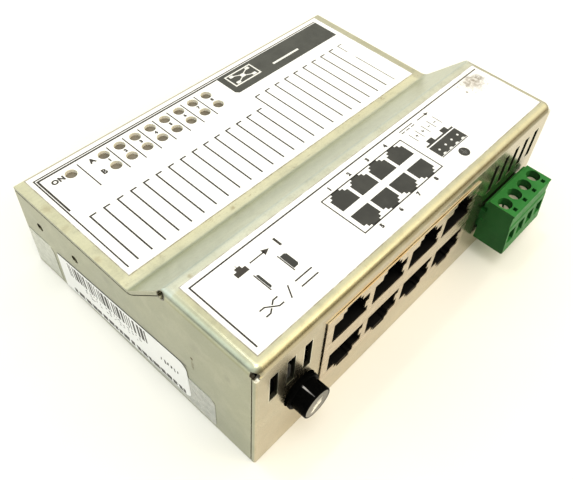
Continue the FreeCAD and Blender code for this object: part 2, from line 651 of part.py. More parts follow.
helix = doc.addObject("Part::Helix", "spring_path")
helix.Pitch, helix.Height, helix.Radius = 1.12, 7.1, 1.5
place(helix, BX, -32.75, BZ, FreeCAD.Rotation(V(1, 0, 0), -90))
ring = doc.addObject("Part::Circle", "spring_wire")
ring.Radius = 0.2
ring.Placement = FreeCAD.Placement(V(BX.v + 1.5, -32.75, BZ.v), FreeCAD.Rotation())
bind(ring, "Placement.Base.x", BX + 1.5)
bind(ring, "Placement.Base.z", BZ)
spring = doc.addObject("Part::Sweep", "return_spring")
spring.Sections = [ring]
spring.Spine = (helix, [])
spring.Solid = True
spring.Frenet = True
keep("return_spring", spring)

keep("switch_pins", group([box(x - 0.4, x + 0.4, y - 0.2, y + 0.2, BB - 2.0, BT) for x, y in switch_pins]))

# ---------------------------------------------------------------- light guide and light chips
rods = []
for x, y in WINDOWS:
    rods.append(cyl(x, y, BT + 1.2, 1.35, H2 - 0.75 - BT - 1.2))
bar = box(D["lone_window_x"] - 2.4, WINDOWS[8][0] + 2.4, D["window_row_b"] - 2.3, D["window_row_a"] + 2.0, 22.5, 24.3)
leg_a = box(D["lone_window_x"] - 2.4, D["lone_window_x"] - 0.6, D["window_row_b"] - 2.3, D["window_row_b"] + 1.2, BT, 22.6)
leg_b = box(WINDOWS[8][0] + 2.0, WINDOWS[8][0] + 3.8, D["window_row_b"] - 2.3, D["window_row_a"] + 2.0, BT, 24.3)
keep("light_guide", fuse(rods + [bar, leg_a, leg_b]))
keep("status_leds", group([box(x - 1.0, x + 1.0, y - 0.65, y + 0.65, BT, BT + 0.8) for x, y in WINDOWS]))


# ---------------------------------------------------------------- parts on the board
def chip(name, centres, lx, ly, hz, notch):
    objs = []
    for x, y in centres:
        b = cut(box(x - lx / 2, x + lx / 2, y - ly / 2, y + ly / 2, BT, BT + hz),
                [cyl(x - lx / 2 + notch, y - ly / 2 + notch, BT + hz - 0.15, notch * 0.45, 0.5)])
        objs.append(b)
    return keep(name, objs[0] if len(objs) == 1 else group(objs))


chip("hub_chip", [(-8.0, 16.0)], 24.0, 20.0, 2.7, 2.0)
chip("port_drivers", [(-30.0, 8.0), (14.0, 8.0)], 12.0, 12.0, 1.6, 1.4)
chip("transformers", [(-31.0, -6.0), (-14.0, -6.0), (3.0, -6.0), (20.0, -6.0)], 14.0, 11.0, 6.0, 1.6)
chip("regulator", [(26.0, 22.0)], 10.0, 9.0, 4.4, 1.2)
caps = []
for x, y in ((40.0, 0.0), (40.0, 13.0)):
    c = fuse([cyl(x, y, BT, 5.0, 0.9), cyl(x, y, BT + 0.9, 4.75, 0.7), cyl(x, y, BT + 1.6, 5.0, 12.4)])
    caps.append(cut(c, [box(x - 3.2, x + 3.2, y - 0.2, y + 0.2, BT + 13.75, BT + 15), box(x - 0.2, x + 0.2, y - 3.2, y + 3.2, BT + 13.75, BT + 15)]))
keep("capacitors", group(caps))
core = fuse([cyl(39.0, 26.5, BT, 5.2, 1.2), cyl(39.0, 26.5, BT + 1.2, 3.9, 4.6), cyl(39.0, 26.5, BT + 5.8, 5.2, 1.2)])
keep("power_choke", core)
keep("crystal", fuse([box(-30.0, -24.4, 19.0, 23.4, BT, BT + 3.4), cyl(-30.0, 21.2, BT, 2.2, 3.4), cyl(-24.4, 21.2, BT, 2.2, 3.4)]))

# ---------------------------------------------------------------- films on the case
FT = D["film"]
lab = new_body("status_label")
pad(lab, sketch(lab, "XY_Plane", [rect(D["status_left"], D["status_right"], D["status_front"], D["status_rear"])]
                + [("circle", x, y, D["window_radius"] + 0.1) for x, y in WINDOWS], H2), FT)
keep("status_label", lab)
lab = new_body("port_label")
pad(lab, sketch(lab, "XY_Plane", [rect(D["port_label_left"], D["port_label_right"], D["port_label_front"],
                                       D["port_label_rear"])], H1), FT)
keep("port_label", lab)


def side_film(name, pts, depth, corners):
    """A film on the left wall; corners gives (index of the corner, radius)."""
    b = new_body(name)
    pad(b, sketch(b, "YZ_Plane", [("poly", pts)], -W2 - depth), FT, True)
    for i, r in corners:
        y, z = pts[i]
        fillet(b, edges_where(b.Tip.Shape, lambda q: q.XLength > FT.v * 0.9 and near(q.YMin, y) and near(q.ZMin, z)
                              and q.YLength < 0.01 and q.ZLength < 0.01), r)
    return keep(name, b)


side_film("side_foil", [(31.0, 1.0), (41.6, 1.0), (41.6, 14.2), (31.0, 14.2)], 0, [(3, 2.4)])
side_film("rating_label", [(-29.5, 1.0), (22.0, 1.0), (22.0, 13.2), (-29.5, 13.2)], 0, [(3, 1.8), (0, 1.2)])
side_film("serial_label", [(-21.1, 3.4), (29.0, 0.7), (29.0, 14.2), (-20.4, 18.2)], FT, [(0, 2.2), (3, 2.6), (1, 0.5), (2, 0.5)])

# ---------------------------------------------------------------- checks and files
doc.recompute()
for o in doc.Objects:
    if "Invalid" in o.State or "Error" in o.State:
        raise RuntimeError("bad state: %s %s" % (o.Name, o.State))
os.makedirs("parts", exist_ok=True)
for name in os.listdir("parts"):
    if name.endswith(".step") and name[:-5] not in NODES:
        os.remove(os.path.join("parts", name))
for name, obj in NODES.items():
    shape = obj.Shape
    if shape.isNull() or not shape.isValid() or not shape.Solids:
        raise RuntimeError("bad shape: " + name)
    if isinstance(obj, FreeCAD.DocumentObject) and obj.TypeId == "PartDesign::Body" and len(shape.Solids) != 1:
        raise RuntimeError("more than one solid: " + name)
    shape.exportStep(os.path.join("parts", name + ".step"))
    bb = shape.BoundBox
    print("%-16s solids %3d vol %10.2f  x %.2f %.2f  y %.2f %.2f  z %.2f %.2f" % (
        name, len(shape.Solids), shape.Volume, bb.XMin, bb.XMax, bb.YMin, bb.YMax, bb.ZMin, bb.ZMax))
print(len(NODES), "nodes")
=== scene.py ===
"""Looks of the industrial ethernet hub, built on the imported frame. Lengths in the tables below are millimetres."""

import json
import math
import random

import bmesh
import bpy
from mathutils import Matrix, Vector


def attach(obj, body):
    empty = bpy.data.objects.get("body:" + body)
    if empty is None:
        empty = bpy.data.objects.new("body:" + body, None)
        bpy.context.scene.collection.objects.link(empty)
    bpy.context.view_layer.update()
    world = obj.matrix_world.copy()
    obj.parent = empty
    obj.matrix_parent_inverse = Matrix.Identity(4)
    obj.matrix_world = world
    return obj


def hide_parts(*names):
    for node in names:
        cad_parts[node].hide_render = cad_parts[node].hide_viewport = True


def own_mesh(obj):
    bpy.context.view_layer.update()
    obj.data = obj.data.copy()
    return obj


MM = 0.001
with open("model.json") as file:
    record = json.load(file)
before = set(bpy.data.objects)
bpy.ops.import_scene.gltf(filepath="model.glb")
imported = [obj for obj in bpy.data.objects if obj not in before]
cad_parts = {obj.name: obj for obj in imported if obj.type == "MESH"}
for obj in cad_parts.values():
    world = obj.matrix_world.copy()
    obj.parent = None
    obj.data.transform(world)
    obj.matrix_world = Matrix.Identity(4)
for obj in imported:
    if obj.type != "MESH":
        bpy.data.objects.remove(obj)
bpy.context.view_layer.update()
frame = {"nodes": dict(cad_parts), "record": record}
nodes = frame["nodes"]
scene = bpy.context.scene


# ---------------------------------------------------------------- node material helper
class Look:
    """One procedural material. Its coordinates are the object's own, in millimetres."""

    def __init__(self, name, **sockets):
        self.mat = bpy.data.materials.new(name)
        self.mat.use_nodes = True
        self.tree = self.mat.node_tree
        self.tree.nodes.clear()
        out = self.add("ShaderNodeOutputMaterial")
        self.shader = self.add("ShaderNodeBsdfPrincipled")
        self.tree.links.new(self.shader.outputs[0], out.inputs[0])
        coord = self.add("ShaderNodeTexCoord")
        scale = self.add("ShaderNodeVectorMath")
        scale.operation = "SCALE"
        scale.inputs["Scale"].default_value = 1000.0
        self.tree.links.new(coord.outputs["Object"], scale.inputs[0])
        self.mm = scale.outputs[0]
        split = self.add("ShaderNodeSeparateXYZ")
        self.tree.links.new(self.mm, split.inputs[0])
        self.x, self.y, self.z = split.outputs
        for k, v in sockets.items():
            self.put(k.replace("_", " "), v)

    def add(self, kind):
        return self.tree.nodes.new(kind)

    def feed(self, socket, value):
        if isinstance(value, bpy.types.NodeSocket):
            self.tree.links.new(value, socket)
        elif isinstance(value, (tuple, list)) and len(value) == 3 and socket.type == "RGBA":
            socket.default_value = (*value, 1.0)
        else:
            socket.default_value = value

    def put(self, name, value):
        self.feed(self.shader.inputs[name], value)

    def math(self, op, a, b=0.0, c=0.0, clamp=False):
        n = self.add("ShaderNodeMath")
        n.operation = op
        n.use_clamp = clamp
        for s, v in zip(n.inputs, (a, b, c)):
            self.feed(s, v)
        return n.outputs[0]

    def times(self, *values):
        out = values[0]
        for v in values[1:]:
            out = self.math("MULTIPLY", out, v)
        return out

    def most(self, *values):
        out = values[0]
        for v in values[1:]:
            out = self.math("MAXIMUM", out, v)
        return out

    def step(self, value, low, high, to_low=0.0, to_high=1.0):
        n = self.add("ShaderNodeMapRange")
        n.interpolation_type = "SMOOTHSTEP"
        for s, v in zip(n.inputs, (value, low, high, to_low, to_high)):
            self.feed(s, v)
        return n.outputs[0]

    def mix(self, factor, a, b, blend="MIX"):
        n = self.add("ShaderNodeMix")
        n.data_type = "RGBA"
        n.blend_type = blend
        self.feed(n.inputs[0], factor)
        self.feed(n.inputs[6], a)
        self.feed(n.inputs[7], b)
        return n.outputs[2]

    def ramp(self, value, stops):
        n = self.add("ShaderNodeValToRGB")
        self.feed(n.inputs[0], value)
        items = n.color_ramp.elements
        for item, (at, colour) in zip((items[0], items[1]), (stops[0], stops[-1])):
            item.position, item.color = at, (*colour, 1.0)
        for at, colour in stops[1:-1]:
            items.new(at).color = (*colour, 1.0)
        return n.outputs[0]

    def place(self, stretch=None, shift=0.0, turn=None):
        if stretch is None and not shift and turn is None:
            return self.mm
        n = self.add("ShaderNodeMapping")
        n.vector_type = "POINT"
        self.tree.links.new(self.mm, n.inputs["Vector"])
        n.inputs["Location"].default_value = (shift, shift * 0.7, shift * 1.3)
        if turn is not None:
            n.inputs["Rotation"].default_value = turn
        if stretch is not None:
            n.inputs["Scale"].default_value = tuple(1.0 / s for s in stretch)
        return n.outputs[0]

    def noise(self, size, detail=2.0, rough=0.5, stretch=None, shift=0.0, warp=0.0, turn=None):
        n = self.add("ShaderNodeTexNoise")
        self.tree.links.new(self.place(stretch, shift, turn), n.inputs["Vector"])
        n.inputs["Scale"].default_value = 1.0 / size
        n.inputs["Detail"].default_value = detail
        n.inputs["Roughness"].default_value = rough
        n.inputs["Distortion"].default_value = warp
        return n.outputs["Fac"]

    def cells(self, size, shift=0.0, stretch=None, feature="F1", out="Color"):
        n = self.add("ShaderNodeTexVoronoi")
        n.feature = feature
        self.tree.links.new(self.place(stretch, shift), n.inputs["Vector"])
        n.inputs["Scale"].default_value = 1.0 / size
        return n.outputs[out]

    def band(self, value, low, high, soft):
        return self.times(self.step(value, low - soft, low + soft), self.step(value, high + soft, high - soft))

    def spot(self, a, b, ca, cb, radius, soft, wobble=None, amount=0.0):
        da, db = self.math("SUBTRACT", a, ca), self.math("SUBTRACT", b, cb)
        d = self.math("SQRT", self.math("ADD", self.times(da, da), self.times(db, db)))
        if wobble is not None:
            d = self.math("ADD", d, self.times(self.math("SUBTRACT", wobble, 0.5), amount))
        return self.step(d, radius + soft, radius - soft)

    def facing(self, axis):
        g = self.add("ShaderNodeNewGeometry")
        s = self.add("ShaderNodeSeparateXYZ")
        t = self.add("ShaderNodeVectorTransform")
        t.vector_type = "NORMAL"
        t.convert_from, t.convert_to = "WORLD", "OBJECT"
        self.tree.links.new(g.outputs["Normal"], t.inputs[0])
        self.tree.links.new(t.outputs[0], s.inputs[0])
        return s.outputs[axis]

    def edges(self, radius, low=0.02, high=0.2):
        b = self.add("ShaderNodeBevel")
        b.samples = 4
        b.inputs["Radius"].default_value = radius * MM
        g = self.add("ShaderNodeNewGeometry")
        d = self.add("ShaderNodeVectorMath")
        d.operation = "DOT_PRODUCT"
        self.tree.links.new(b.outputs[0], d.inputs[0])
        self.tree.links.new(g.outputs["Normal"], d.inputs[1])
        return self.step(self.math("SUBTRACT", 1.0, d.outputs["Value"]), low, high)

    def crevice(self, reach):
        n = self.add("ShaderNodeAmbientOcclusion")
        n.samples = 6
        n.inputs["Distance"].default_value = reach * MM
        return self.math("SUBTRACT", 1.0, n.outputs["AO"], clamp=True)

    def bump(self, height, depth, strength=1.0, soft_edge=None):
        n = self.add("ShaderNodeBump")
        n.inputs["Distance"].default_value = depth * MM
        self.feed(n.inputs["Strength"], strength)
        self.feed(n.inputs["Height"], height)
        if soft_edge:
            b = self.add("ShaderNodeBevel")
            b.samples = 4
            b.inputs["Radius"].default_value = soft_edge * MM
            self.tree.links.new(b.outputs[0], n.inputs["Normal"])
        self.put("Normal", n.outputs[0])

    def grey(self, factor, low, high):
        return self.math("ADD", low, self.times(factor, high - low))


def dress(look, *names):
    for n in names:
        o = nodes[n]
        o.data.materials.clear()
        o.data.materials.append(look.mat)


# ---------------------------------------------------------------- sheet metal
def zinc_sheet():
    k = Look("zinc_sheet")
    cloud = k.noise(16, 4, 0.55, shift=3)
    patch = k.noise(5.5, 3, 0.6, shift=11, warp=0.6)
    grain = k.noise(0.42, 3, 0.65)
    flow = k.noise(1.0, 4, 0.6, stretch=(34, 1.0, 1.0), shift=5)
    nx, ny, nz = k.facing(0), k.facing(1), k.facing(2)
    # the passivated coat's tint, with painted light and shade by face direction: greenish on the sides and the slope,
    # yellower on the top and the front, the right side darker
    haze = k.step(cloud, 0.36, 0.64)
    front = k.step(ny, -0.35, -0.90)
    colour = k.mix(haze, (0.490, 0.520, 0.395), (0.545, 0.570, 0.435))
    colour = k.mix(k.step(k.math("ABSOLUTE", nz), 0.55, 0.25), colour, k.mix(haze, (0.325, 0.332, 0.232), (0.385, 0.388, 0.275)))
    colour = k.mix(k.times(k.step(nz, 0.80, 0.98), 0.85), colour, k.mix(haze, (0.690, 0.650, 0.425), (0.740, 0.700, 0.470)))
    colour = k.mix(k.times(k.step(nx, 0.02, 0.40), 0.90), colour, (0.330, 0.300, 0.205))
    colour = k.mix(k.times(front, 0.92), colour, k.mix(haze, (0.530, 0.448, 0.300), (0.585, 0.503, 0.346)))
    # painted shade: the front wall is painted darker upward; painted highlight and shade: the bends are painted from
    # bright to olive by face direction
    tall = k.times(front, k.step(k.math("ABSOLUTE", nz), 0.5, 0.2))
    colour = k.mix(tall, colour, k.mix(1.0, colour, k.ramp(k.step(k.z, 38.0, 3.0), [(0.0, (0.86, 0.865, 0.86)), (1.0, (1.0, 1.0, 1.0))]), "MULTIPLY"))
    painted_front_bend_light = k.ramp(k.math("SUBTRACT", k.times(ny, -1.0), k.times(k.math("ADD", k.x, 15.0), 0.0020)), [
        (0.0, (1.0, 1.0, 1.0)), (0.45, (0.96, 0.96, 0.92)), (0.56, (0.72, 0.71, 0.66)), (0.68, (0.48, 0.47, 0.40)), (0.78, (0.41, 0.40, 0.31)),
        (0.86, (0.43, 0.42, 0.34)), (0.92, (0.56, 0.55, 0.48)), (0.965, (0.74, 0.73, 0.68)), (1.0, (0.92, 0.92, 0.90))])
    colour = k.mix(k.step(nz, 0.02, 0.25), colour, k.mix(1.0, colour, painted_front_bend_light, "MULTIPLY"))
    painted_side_bend_light = k.ramp(k.times(nx, -1.0), [
        (0.0, (1.0, 1.0, 1.0)), (0.14, (0.84, 0.85, 0.86)), (0.25, (0.74, 0.76, 0.78)), (0.38, (0.84, 0.86, 0.88)), (0.52, (1.0, 1.0, 1.0)), (1.0, (1.0, 1.0, 1.0))])
    colour = k.mix(k.step(nz, 0.02, 0.25), colour, k.mix(1.0, colour, painted_side_bend_light, "MULTIPLY"))
    # painted light and shade: the flat strips beside the labels are painted palest next to the slope, and the slope is
    # painted darker toward its left foot
    flat = k.step(nz, 0.80, 0.98)
    painted_strip_light = k.times(flat, k.step(k.z, 30.0, 29.3), k.grey(k.band(k.y, -2.2, 1.0, 0.4), 0.55, 1.0))
    colour = k.mix(painted_strip_light, colour, k.mix(1.0, colour, (1.22, 1.21, 1.22), "MULTIPLY"))
    # painted highlight: a pale bluish band at the top of the slope
    painted_slope_top_highlight = k.times(k.step(nz, 0.60, 0.90), k.step(k.z, 40.2, 41.0), k.band(k.y, -17.4, -13.6, 0.4))
    colour = k.mix(painted_slope_top_highlight, colour, k.mix(1.0, colour, (1.14, 1.19, 1.38), "MULTIPLY"))
    painted_slope_shade = k.times(k.step(ny, 0.30, 0.55), k.most(k.times(k.step(k.z, 40.0, 35.0), k.step(k.x, 32.0, 4.0)), k.step(k.x, -25.0, -45.0)))
    colour = k.mix(painted_slope_shade, colour, k.mix(1.0, colour, (0.83, 0.85, 0.84), "MULTIPLY"))
    # painted shade: the low strip at the right end is darker
    painted_side_strip_shade = k.times(flat, k.step(k.z, 30.0, 29.3), k.step(k.x, 53.0, 54.0))
    colour = k.mix(painted_side_strip_shade, colour, k.mix(1.0, colour, (0.80, 0.80, 0.82), "MULTIPLY"))
    colour = k.mix(k.times(k.step(patch, 0.42, 0.68), 0.16), colour, (0.600, 0.590, 0.470))
    mottle = k.noise(2.6, 4, 0.65, shift=83)
    colour = k.mix(k.times(k.step(mottle, 0.46, 0.70), 0.20), colour, (0.300, 0.300, 0.215))
    colour = k.mix(k.times(k.step(flow, 0.40, 0.72), 0.12), colour, (0.360, 0.365, 0.270))
    colour = k.mix(k.times(k.step(grain, 0.42, 0.74), 0.14), colour, (0.300, 0.285, 0.205))
    # cut edges painted brighter: part rubbed wear, part painted edge highlight
    rub_and_edge_glint = k.times(k.edges(0.14, 0.05, 0.3), k.step(k.noise(2.2, 3, 0.6, shift=21), 0.25, 0.60))
    colour = k.mix(k.times(rub_and_edge_glint, 0.75), colour, (0.840, 0.790, 0.640))
    # brown darkening in seams and inner corners by an occlusion mask: part dirt, part painted shade
    dirt_and_shade = k.times(k.step(k.crevice(0.7), 0.62, 0.98), k.step(k.noise(1.6, 3, 0.6, shift=31), 0.20, 0.50))
    colour = k.mix(k.times(dirt_and_shade, 0.70), colour, (0.110, 0.075, 0.040))
    # rust spot and its run on the left wall, scuffs, a dark band along the tilted label's upper edge, stains along the
    # foot of the slope
    wall = k.step(nx, -0.6, -0.9)
    fine = k.noise(0.7, 3, 0.6, shift=41)
    spot = k.spot(k.y, k.z, -22.8, 24.5, 0.42, 0.22, fine, 0.5)
    run = k.times(k.band(k.y, -23.25, -22.55, 0.2), k.band(k.z, 20.2, 24.4, 0.9), k.step(fine, 0.3, 0.6), 0.5)
    scuff = k.most(
        k.times(k.spot(k.y, k.z, -24.6, 30.6, 1.5, 1.2, fine, 2.6), 0.30),
        k.times(k.spot(k.y, k.z, -33.9, 30.2, 0.9, 0.7, fine, 2.0), 0.38),
        k.times(k.spot(k.y, k.z, 6.5, 24.6, 1.0, 0.9, fine, 2.4), 0.42),
    )
    colour = k.mix(k.times(k.most(spot, run), wall), colour, (0.115, 0.070, 0.040))
    colour = k.mix(k.times(scuff, wall), colour, (0.240, 0.225, 0.180))
    over = k.math("SUBTRACT", k.z, k.math("ADD", 16.548, k.times(k.y, -0.08097)))
    label_edge_band = k.times(k.band(over, -0.3, 0.42, 0.14), k.band(k.y, -20.6, 29.2, 0.3), wall)
    colour = k.mix(k.times(label_edge_band, 0.80), colour, (0.070, 0.062, 0.048))
    foot = k.times(k.band(k.y, -2.4, 1.0, 1.0), k.step(k.z, 30.6, 29.4), k.step(k.z, 27.6, 28.4))
    specks = k.step(k.noise(2.4, 3, 0.65, stretch=(2.0, 1.0, 1.0), shift=57), 0.60, 0.72)
    colour = k.mix(k.times(foot, specks, 0.45), colour, (0.300, 0.215, 0.105))
    marks = k.most(
        k.times(k.spot(k.x, k.y, -23.2, -0.6, 0.55, 0.45, fine, 1.0), 0.50),
        k.times(k.spot(k.x, k.y, -56.0, 9.4, 0.8, 0.8, fine, 1.6), 0.32),
        k.times(k.spot(k.x, k.y, -55.2, 30.2, 1.2, 1.0, fine, 2.2), 0.32),
        k.times(k.spot(k.x, k.y, -50.0, -16.4, 0.5, 0.4, fine, 1.0), 0.45),
        k.times(k.spot(k.x, k.y, -55.6, 22.0, 1.0, 1.0, fine, 2.0), 0.25),
    )
    colour = k.mix(k.times(marks, k.step(nz, 0.5, 0.8)), colour, (0.370, 0.270, 0.130))
    # the open seam under the rear top's edge is painted dark, and the edge itself has a fine dark line
    sides = k.step(k.math("ABSOLUTE", nx), 0.6, 0.9)
    gap = k.times(k.step(k.y, -2.6, -1.6), k.step(k.math("ABSOLUTE", k.x), 55.4, 55.6), k.most(
        k.times(k.band(k.z, 27.36, 27.98, 0.06), sides, 0.80),
        k.times(k.band(k.z, 27.45, 27.60, 0.03), k.step(nz, 0.6, 0.9), 0.95)))
    colour = k.mix(k.times(gap, k.grey(k.step(fine, 0.30, 0.60), 0.55, 1.0)), colour, (0.085, 0.080, 0.050))
    lip = k.times(k.band(k.z, 28.58, 28.86, 0.05), sides, k.step(k.y, -1.2, -0.4), k.grey(k.step(fine, 0.30, 0.60), 0.35, 0.75))
    colour = k.mix(lip, colour, (0.130, 0.122, 0.080))
    # painted shade: dark inside the relief holes and round the hole at the slope's top, and a dark point where the seam
    # turns up the slope
    painted_hole_shade = k.most(
        k.times(k.spot(k.x, k.z, -56.1, 39.85, 0.80, 0.04), k.step(k.y, -40.0, -40.2)),
        k.times(k.spot(k.x, k.z, 56.1, 39.85, 0.80, 0.04), k.step(k.y, -40.0, -40.2)),
        k.times(k.spot(k.y, k.z, -2.35, 28.05, 0.42, 0.12, fine, 0.3), wall),
        k.times(k.spot(k.y, k.z, -14.85, 39.95, 1.20, 0.12, fine, 0.5), wall, 0.9),
    )
    colour = k.mix(k.times(painted_hole_shade, 0.92), colour, (0.030, 0.022, 0.014))
    # painted highlights: bright beads just below the front corners' relief holes
    painted_corner_glints = k.times(k.band(k.z, 38.75, 39.3, 0.12), k.step(k.y, -41.2, -41.5), k.step(k.math("ABSOLUTE", k.x), 55.6, 55.9))
    colour = k.mix(k.times(painted_corner_glints, 0.85), colour, (0.900, 0.870, 0.740))
    # bright rims round the vents: a punched burr and a painted edge highlight
    def rims(first, low, high):
        u = k.math("WRAP", k.math("SUBTRACT", k.x, first), 2.54, -2.54)
        return k.times(k.band(u, -1.36, 1.36, 0.05), k.band(k.z, 25.48, 35.62, 0.05), k.band(k.x, low, high, 0.05))

    burr_and_edge_glint = k.times(k.step(ny, -0.85, -0.95), k.most(rims(-51.65, -53.3, -39.8), rims(31.1, 29.4, 53.1)), k.step(k.y, -41.7, -41.9))
    colour = k.mix(k.times(burr_and_edge_glint, k.grey(k.step(fine, 0.35, 0.65), 0.45, 0.85)), colour, (0.860, 0.850, 0.700))
    # painted shadow and reflection of the plug: the wall round and above it is darker
    shade = k.times(front, k.band(k.x, 28.5, 51.5, 2.5), k.band(k.z, 11.0, 28.5, 3.0), k.math("SUBTRACT", 1.0, k.times(burr_and_edge_glint, 0.7)))
    colour = k.mix(shade, colour, k.mix(1.0, colour, (0.60, 0.60, 0.58), "MULTIPLY"))
    # painted shade: the cut sides and sills of the vents are painted dark behind their bright rims
    inside = k.times(k.step(k.math("ABSOLUTE", nx), 0.7, 0.9), k.band(k.y, -41.88, -40.9, 0.08), k.step(k.math("ABSOLUTE", k.x), 55.4, 55.0))
    painted_sill_shade = k.times(k.step(nz, 0.7, 0.9), k.band(k.z, 25.55, 25.85, 0.05), k.band(k.y, -41.86, -40.9, 0.08))
    colour = k.mix(k.times(k.most(inside, painted_sill_shade), 0.82), colour, (0.046, 0.048, 0.036))
    # the punched walls of the lamp windows are pale and dull
    punch = k.times(k.band(nz, -0.3, 0.3, 0.1), k.band(k.z, 27.85, 28.9, 0.08), k.band(k.x, -47.0, 4.5, 0.3), k.band(k.y, 28.5, 38.6, 0.3))
    colour = k.mix(punch, colour, (0.860, 0.820, 0.700))
    k.put("Base Color", colour)
    k.put("Metallic", k.math("SUBTRACT", 1.0, k.most(k.times(punch, 0.9), k.times(dirt_and_shade, 0.6), k.times(label_edge_band, 0.7), k.times(painted_hole_shade, 0.8)), clamp=True))
    rough = k.math("SUBTRACT", k.grey(k.step(cloud, 0.3, 0.7), 0.290, 0.350), k.times(front, 0.10))
    rough = k.math("ADD", rough, k.times(k.step(grain, 0.4, 0.7), 0.05))
    rough = k.math("ADD", rough, k.times(k.most(dirt_and_shade, punch), 0.30))
    k.put("Roughness", k.math("ADD", rough, k.times(k.most(spot, run), wall, 0.3), clamp=True))
    k.bump(k.math("ADD", k.times(grain, 0.5), k.times(flow, 0.3)), 0.0024, k.grey(front, 0.40, 0.10))
    return k


# ---------------------------------------------------------------- plastics, metals, films
def plastic(name, low, high, rough, grain=0.35, depth=0.006, edge=None, coat=0.0, level=0.5, vary=1.0, shade=()):
    k = Look(name, Coat_Weight=coat, Coat_Roughness=0.12, Specular_IOR_Level=level)
    cloud = k.noise(6.0, 3, 0.55, shift=7)
    fine = k.noise(grain, 3, 0.6)
    colour = k.mix(k.step(cloud, 0.35, 0.65), low, high)
    colour = k.mix(k.times(k.step(fine, 0.45, 0.75), 0.22), colour, tuple(c * 0.72 for c in low))
    if edge:
        # edges painted lighter: part rubbed wear, part painted edge highlight
        rub_and_edge_glint = k.times(k.edges(0.35, 0.03, 0.3), k.step(k.noise(1.1, 3, 0.6, shift=17), 0.40, 0.66))
        colour = k.mix(k.times(rub_and_edge_glint, edge[1]), colour, edge[0])
    # painted shade: faces turned along the given axis are multiplied by the given tone
    for axis, low_n, high_n, tone in shade:
        colour = k.mix(k.step(k.facing(axis), low_n, high_n), colour, k.mix(1.0, colour, tone, "MULTIPLY"))
    k.put("Base Color", colour)
    k.put("Roughness", k.grey(k.step(k.noise(1.9, 3, 0.6, shift=27), 0.3, 0.7), rough - 0.06 * vary, rough + 0.08 * vary))
    k.bump(fine, depth, 0.5)
    return k


def metal(name, low, high, rough, size=1.4, stretch=None, depth=0.004, dirt_and_shade=None, metallic=1.0):
    k = Look(name, Metallic=metallic)
    cloud = k.noise(size * 3, 3, 0.55, shift=9)
    line = k.noise(size, 4, 0.6, stretch=stretch, shift=2)
    colour = k.mix(k.step(cloud, 0.32, 0.68), low, high)
    colour = k.mix(k.times(k.step(line, 0.42, 0.72), 0.3), colour, tuple(c * 0.7 for c in low))
    if dirt_and_shade:
        colour = k.mix(k.times(k.step(k.crevice(0.8), 0.4, 0.95), 0.6), colour, dirt_and_shade)
    k.put("Base Color", colour)
    k.put("Roughness", k.grey(k.step(line, 0.3, 0.7), rough - 0.06, rough + 0.10))
    k.bump(line, depth, 0.5)
    return k


def shield_steel():
    """Tinned sheet round the sockets: drawn along, with the springs painted bright as painted highlight and a painted
    coppery highlight along the top edge.
    """
    k = Look("shield_steel", Metallic=1.0)
    cloud = k.noise(2.4, 3, 0.55, shift=9)
    line = k.noise(0.8, 4, 0.6, stretch=(12, 1, 1), shift=2)
    colour = k.mix(k.step(cloud, 0.32, 0.68), (0.520, 0.432, 0.302), (0.598, 0.506, 0.364))
    colour = k.mix(k.times(k.step(line, 0.42, 0.72), 0.3), colour, (0.366, 0.303, 0.212))
    # brown darkening in crevices by an occlusion mask: part dirt, part painted shade
    colour = k.mix(k.times(k.step(k.crevice(0.8), 0.4, 0.95), 0.6), colour, (0.20, 0.125, 0.055))
    # painted highlight: the springs behind the front face are painted bright
    spring = k.step(k.y, -42.06, -41.90)
    colour = k.mix(k.times(spring, 0.90), colour, (0.920, 0.850, 0.700))
    # painted highlight: a coppery line along the top edge
    top = k.times(k.step(k.facing(2), 0.6, 0.9), k.step(k.z, 35.9, 36.1))
    colour = k.mix(top, colour, k.mix(k.step(line, 0.40, 0.60), (0.960, 0.720, 0.420), (1.0, 0.900, 0.680)))
    k.put("Base Color", colour)
    k.put("Roughness", k.grey(k.step(line, 0.3, 0.7), 0.18, 0.34))
    k.bump(line, 0.004, 0.5)
    return k


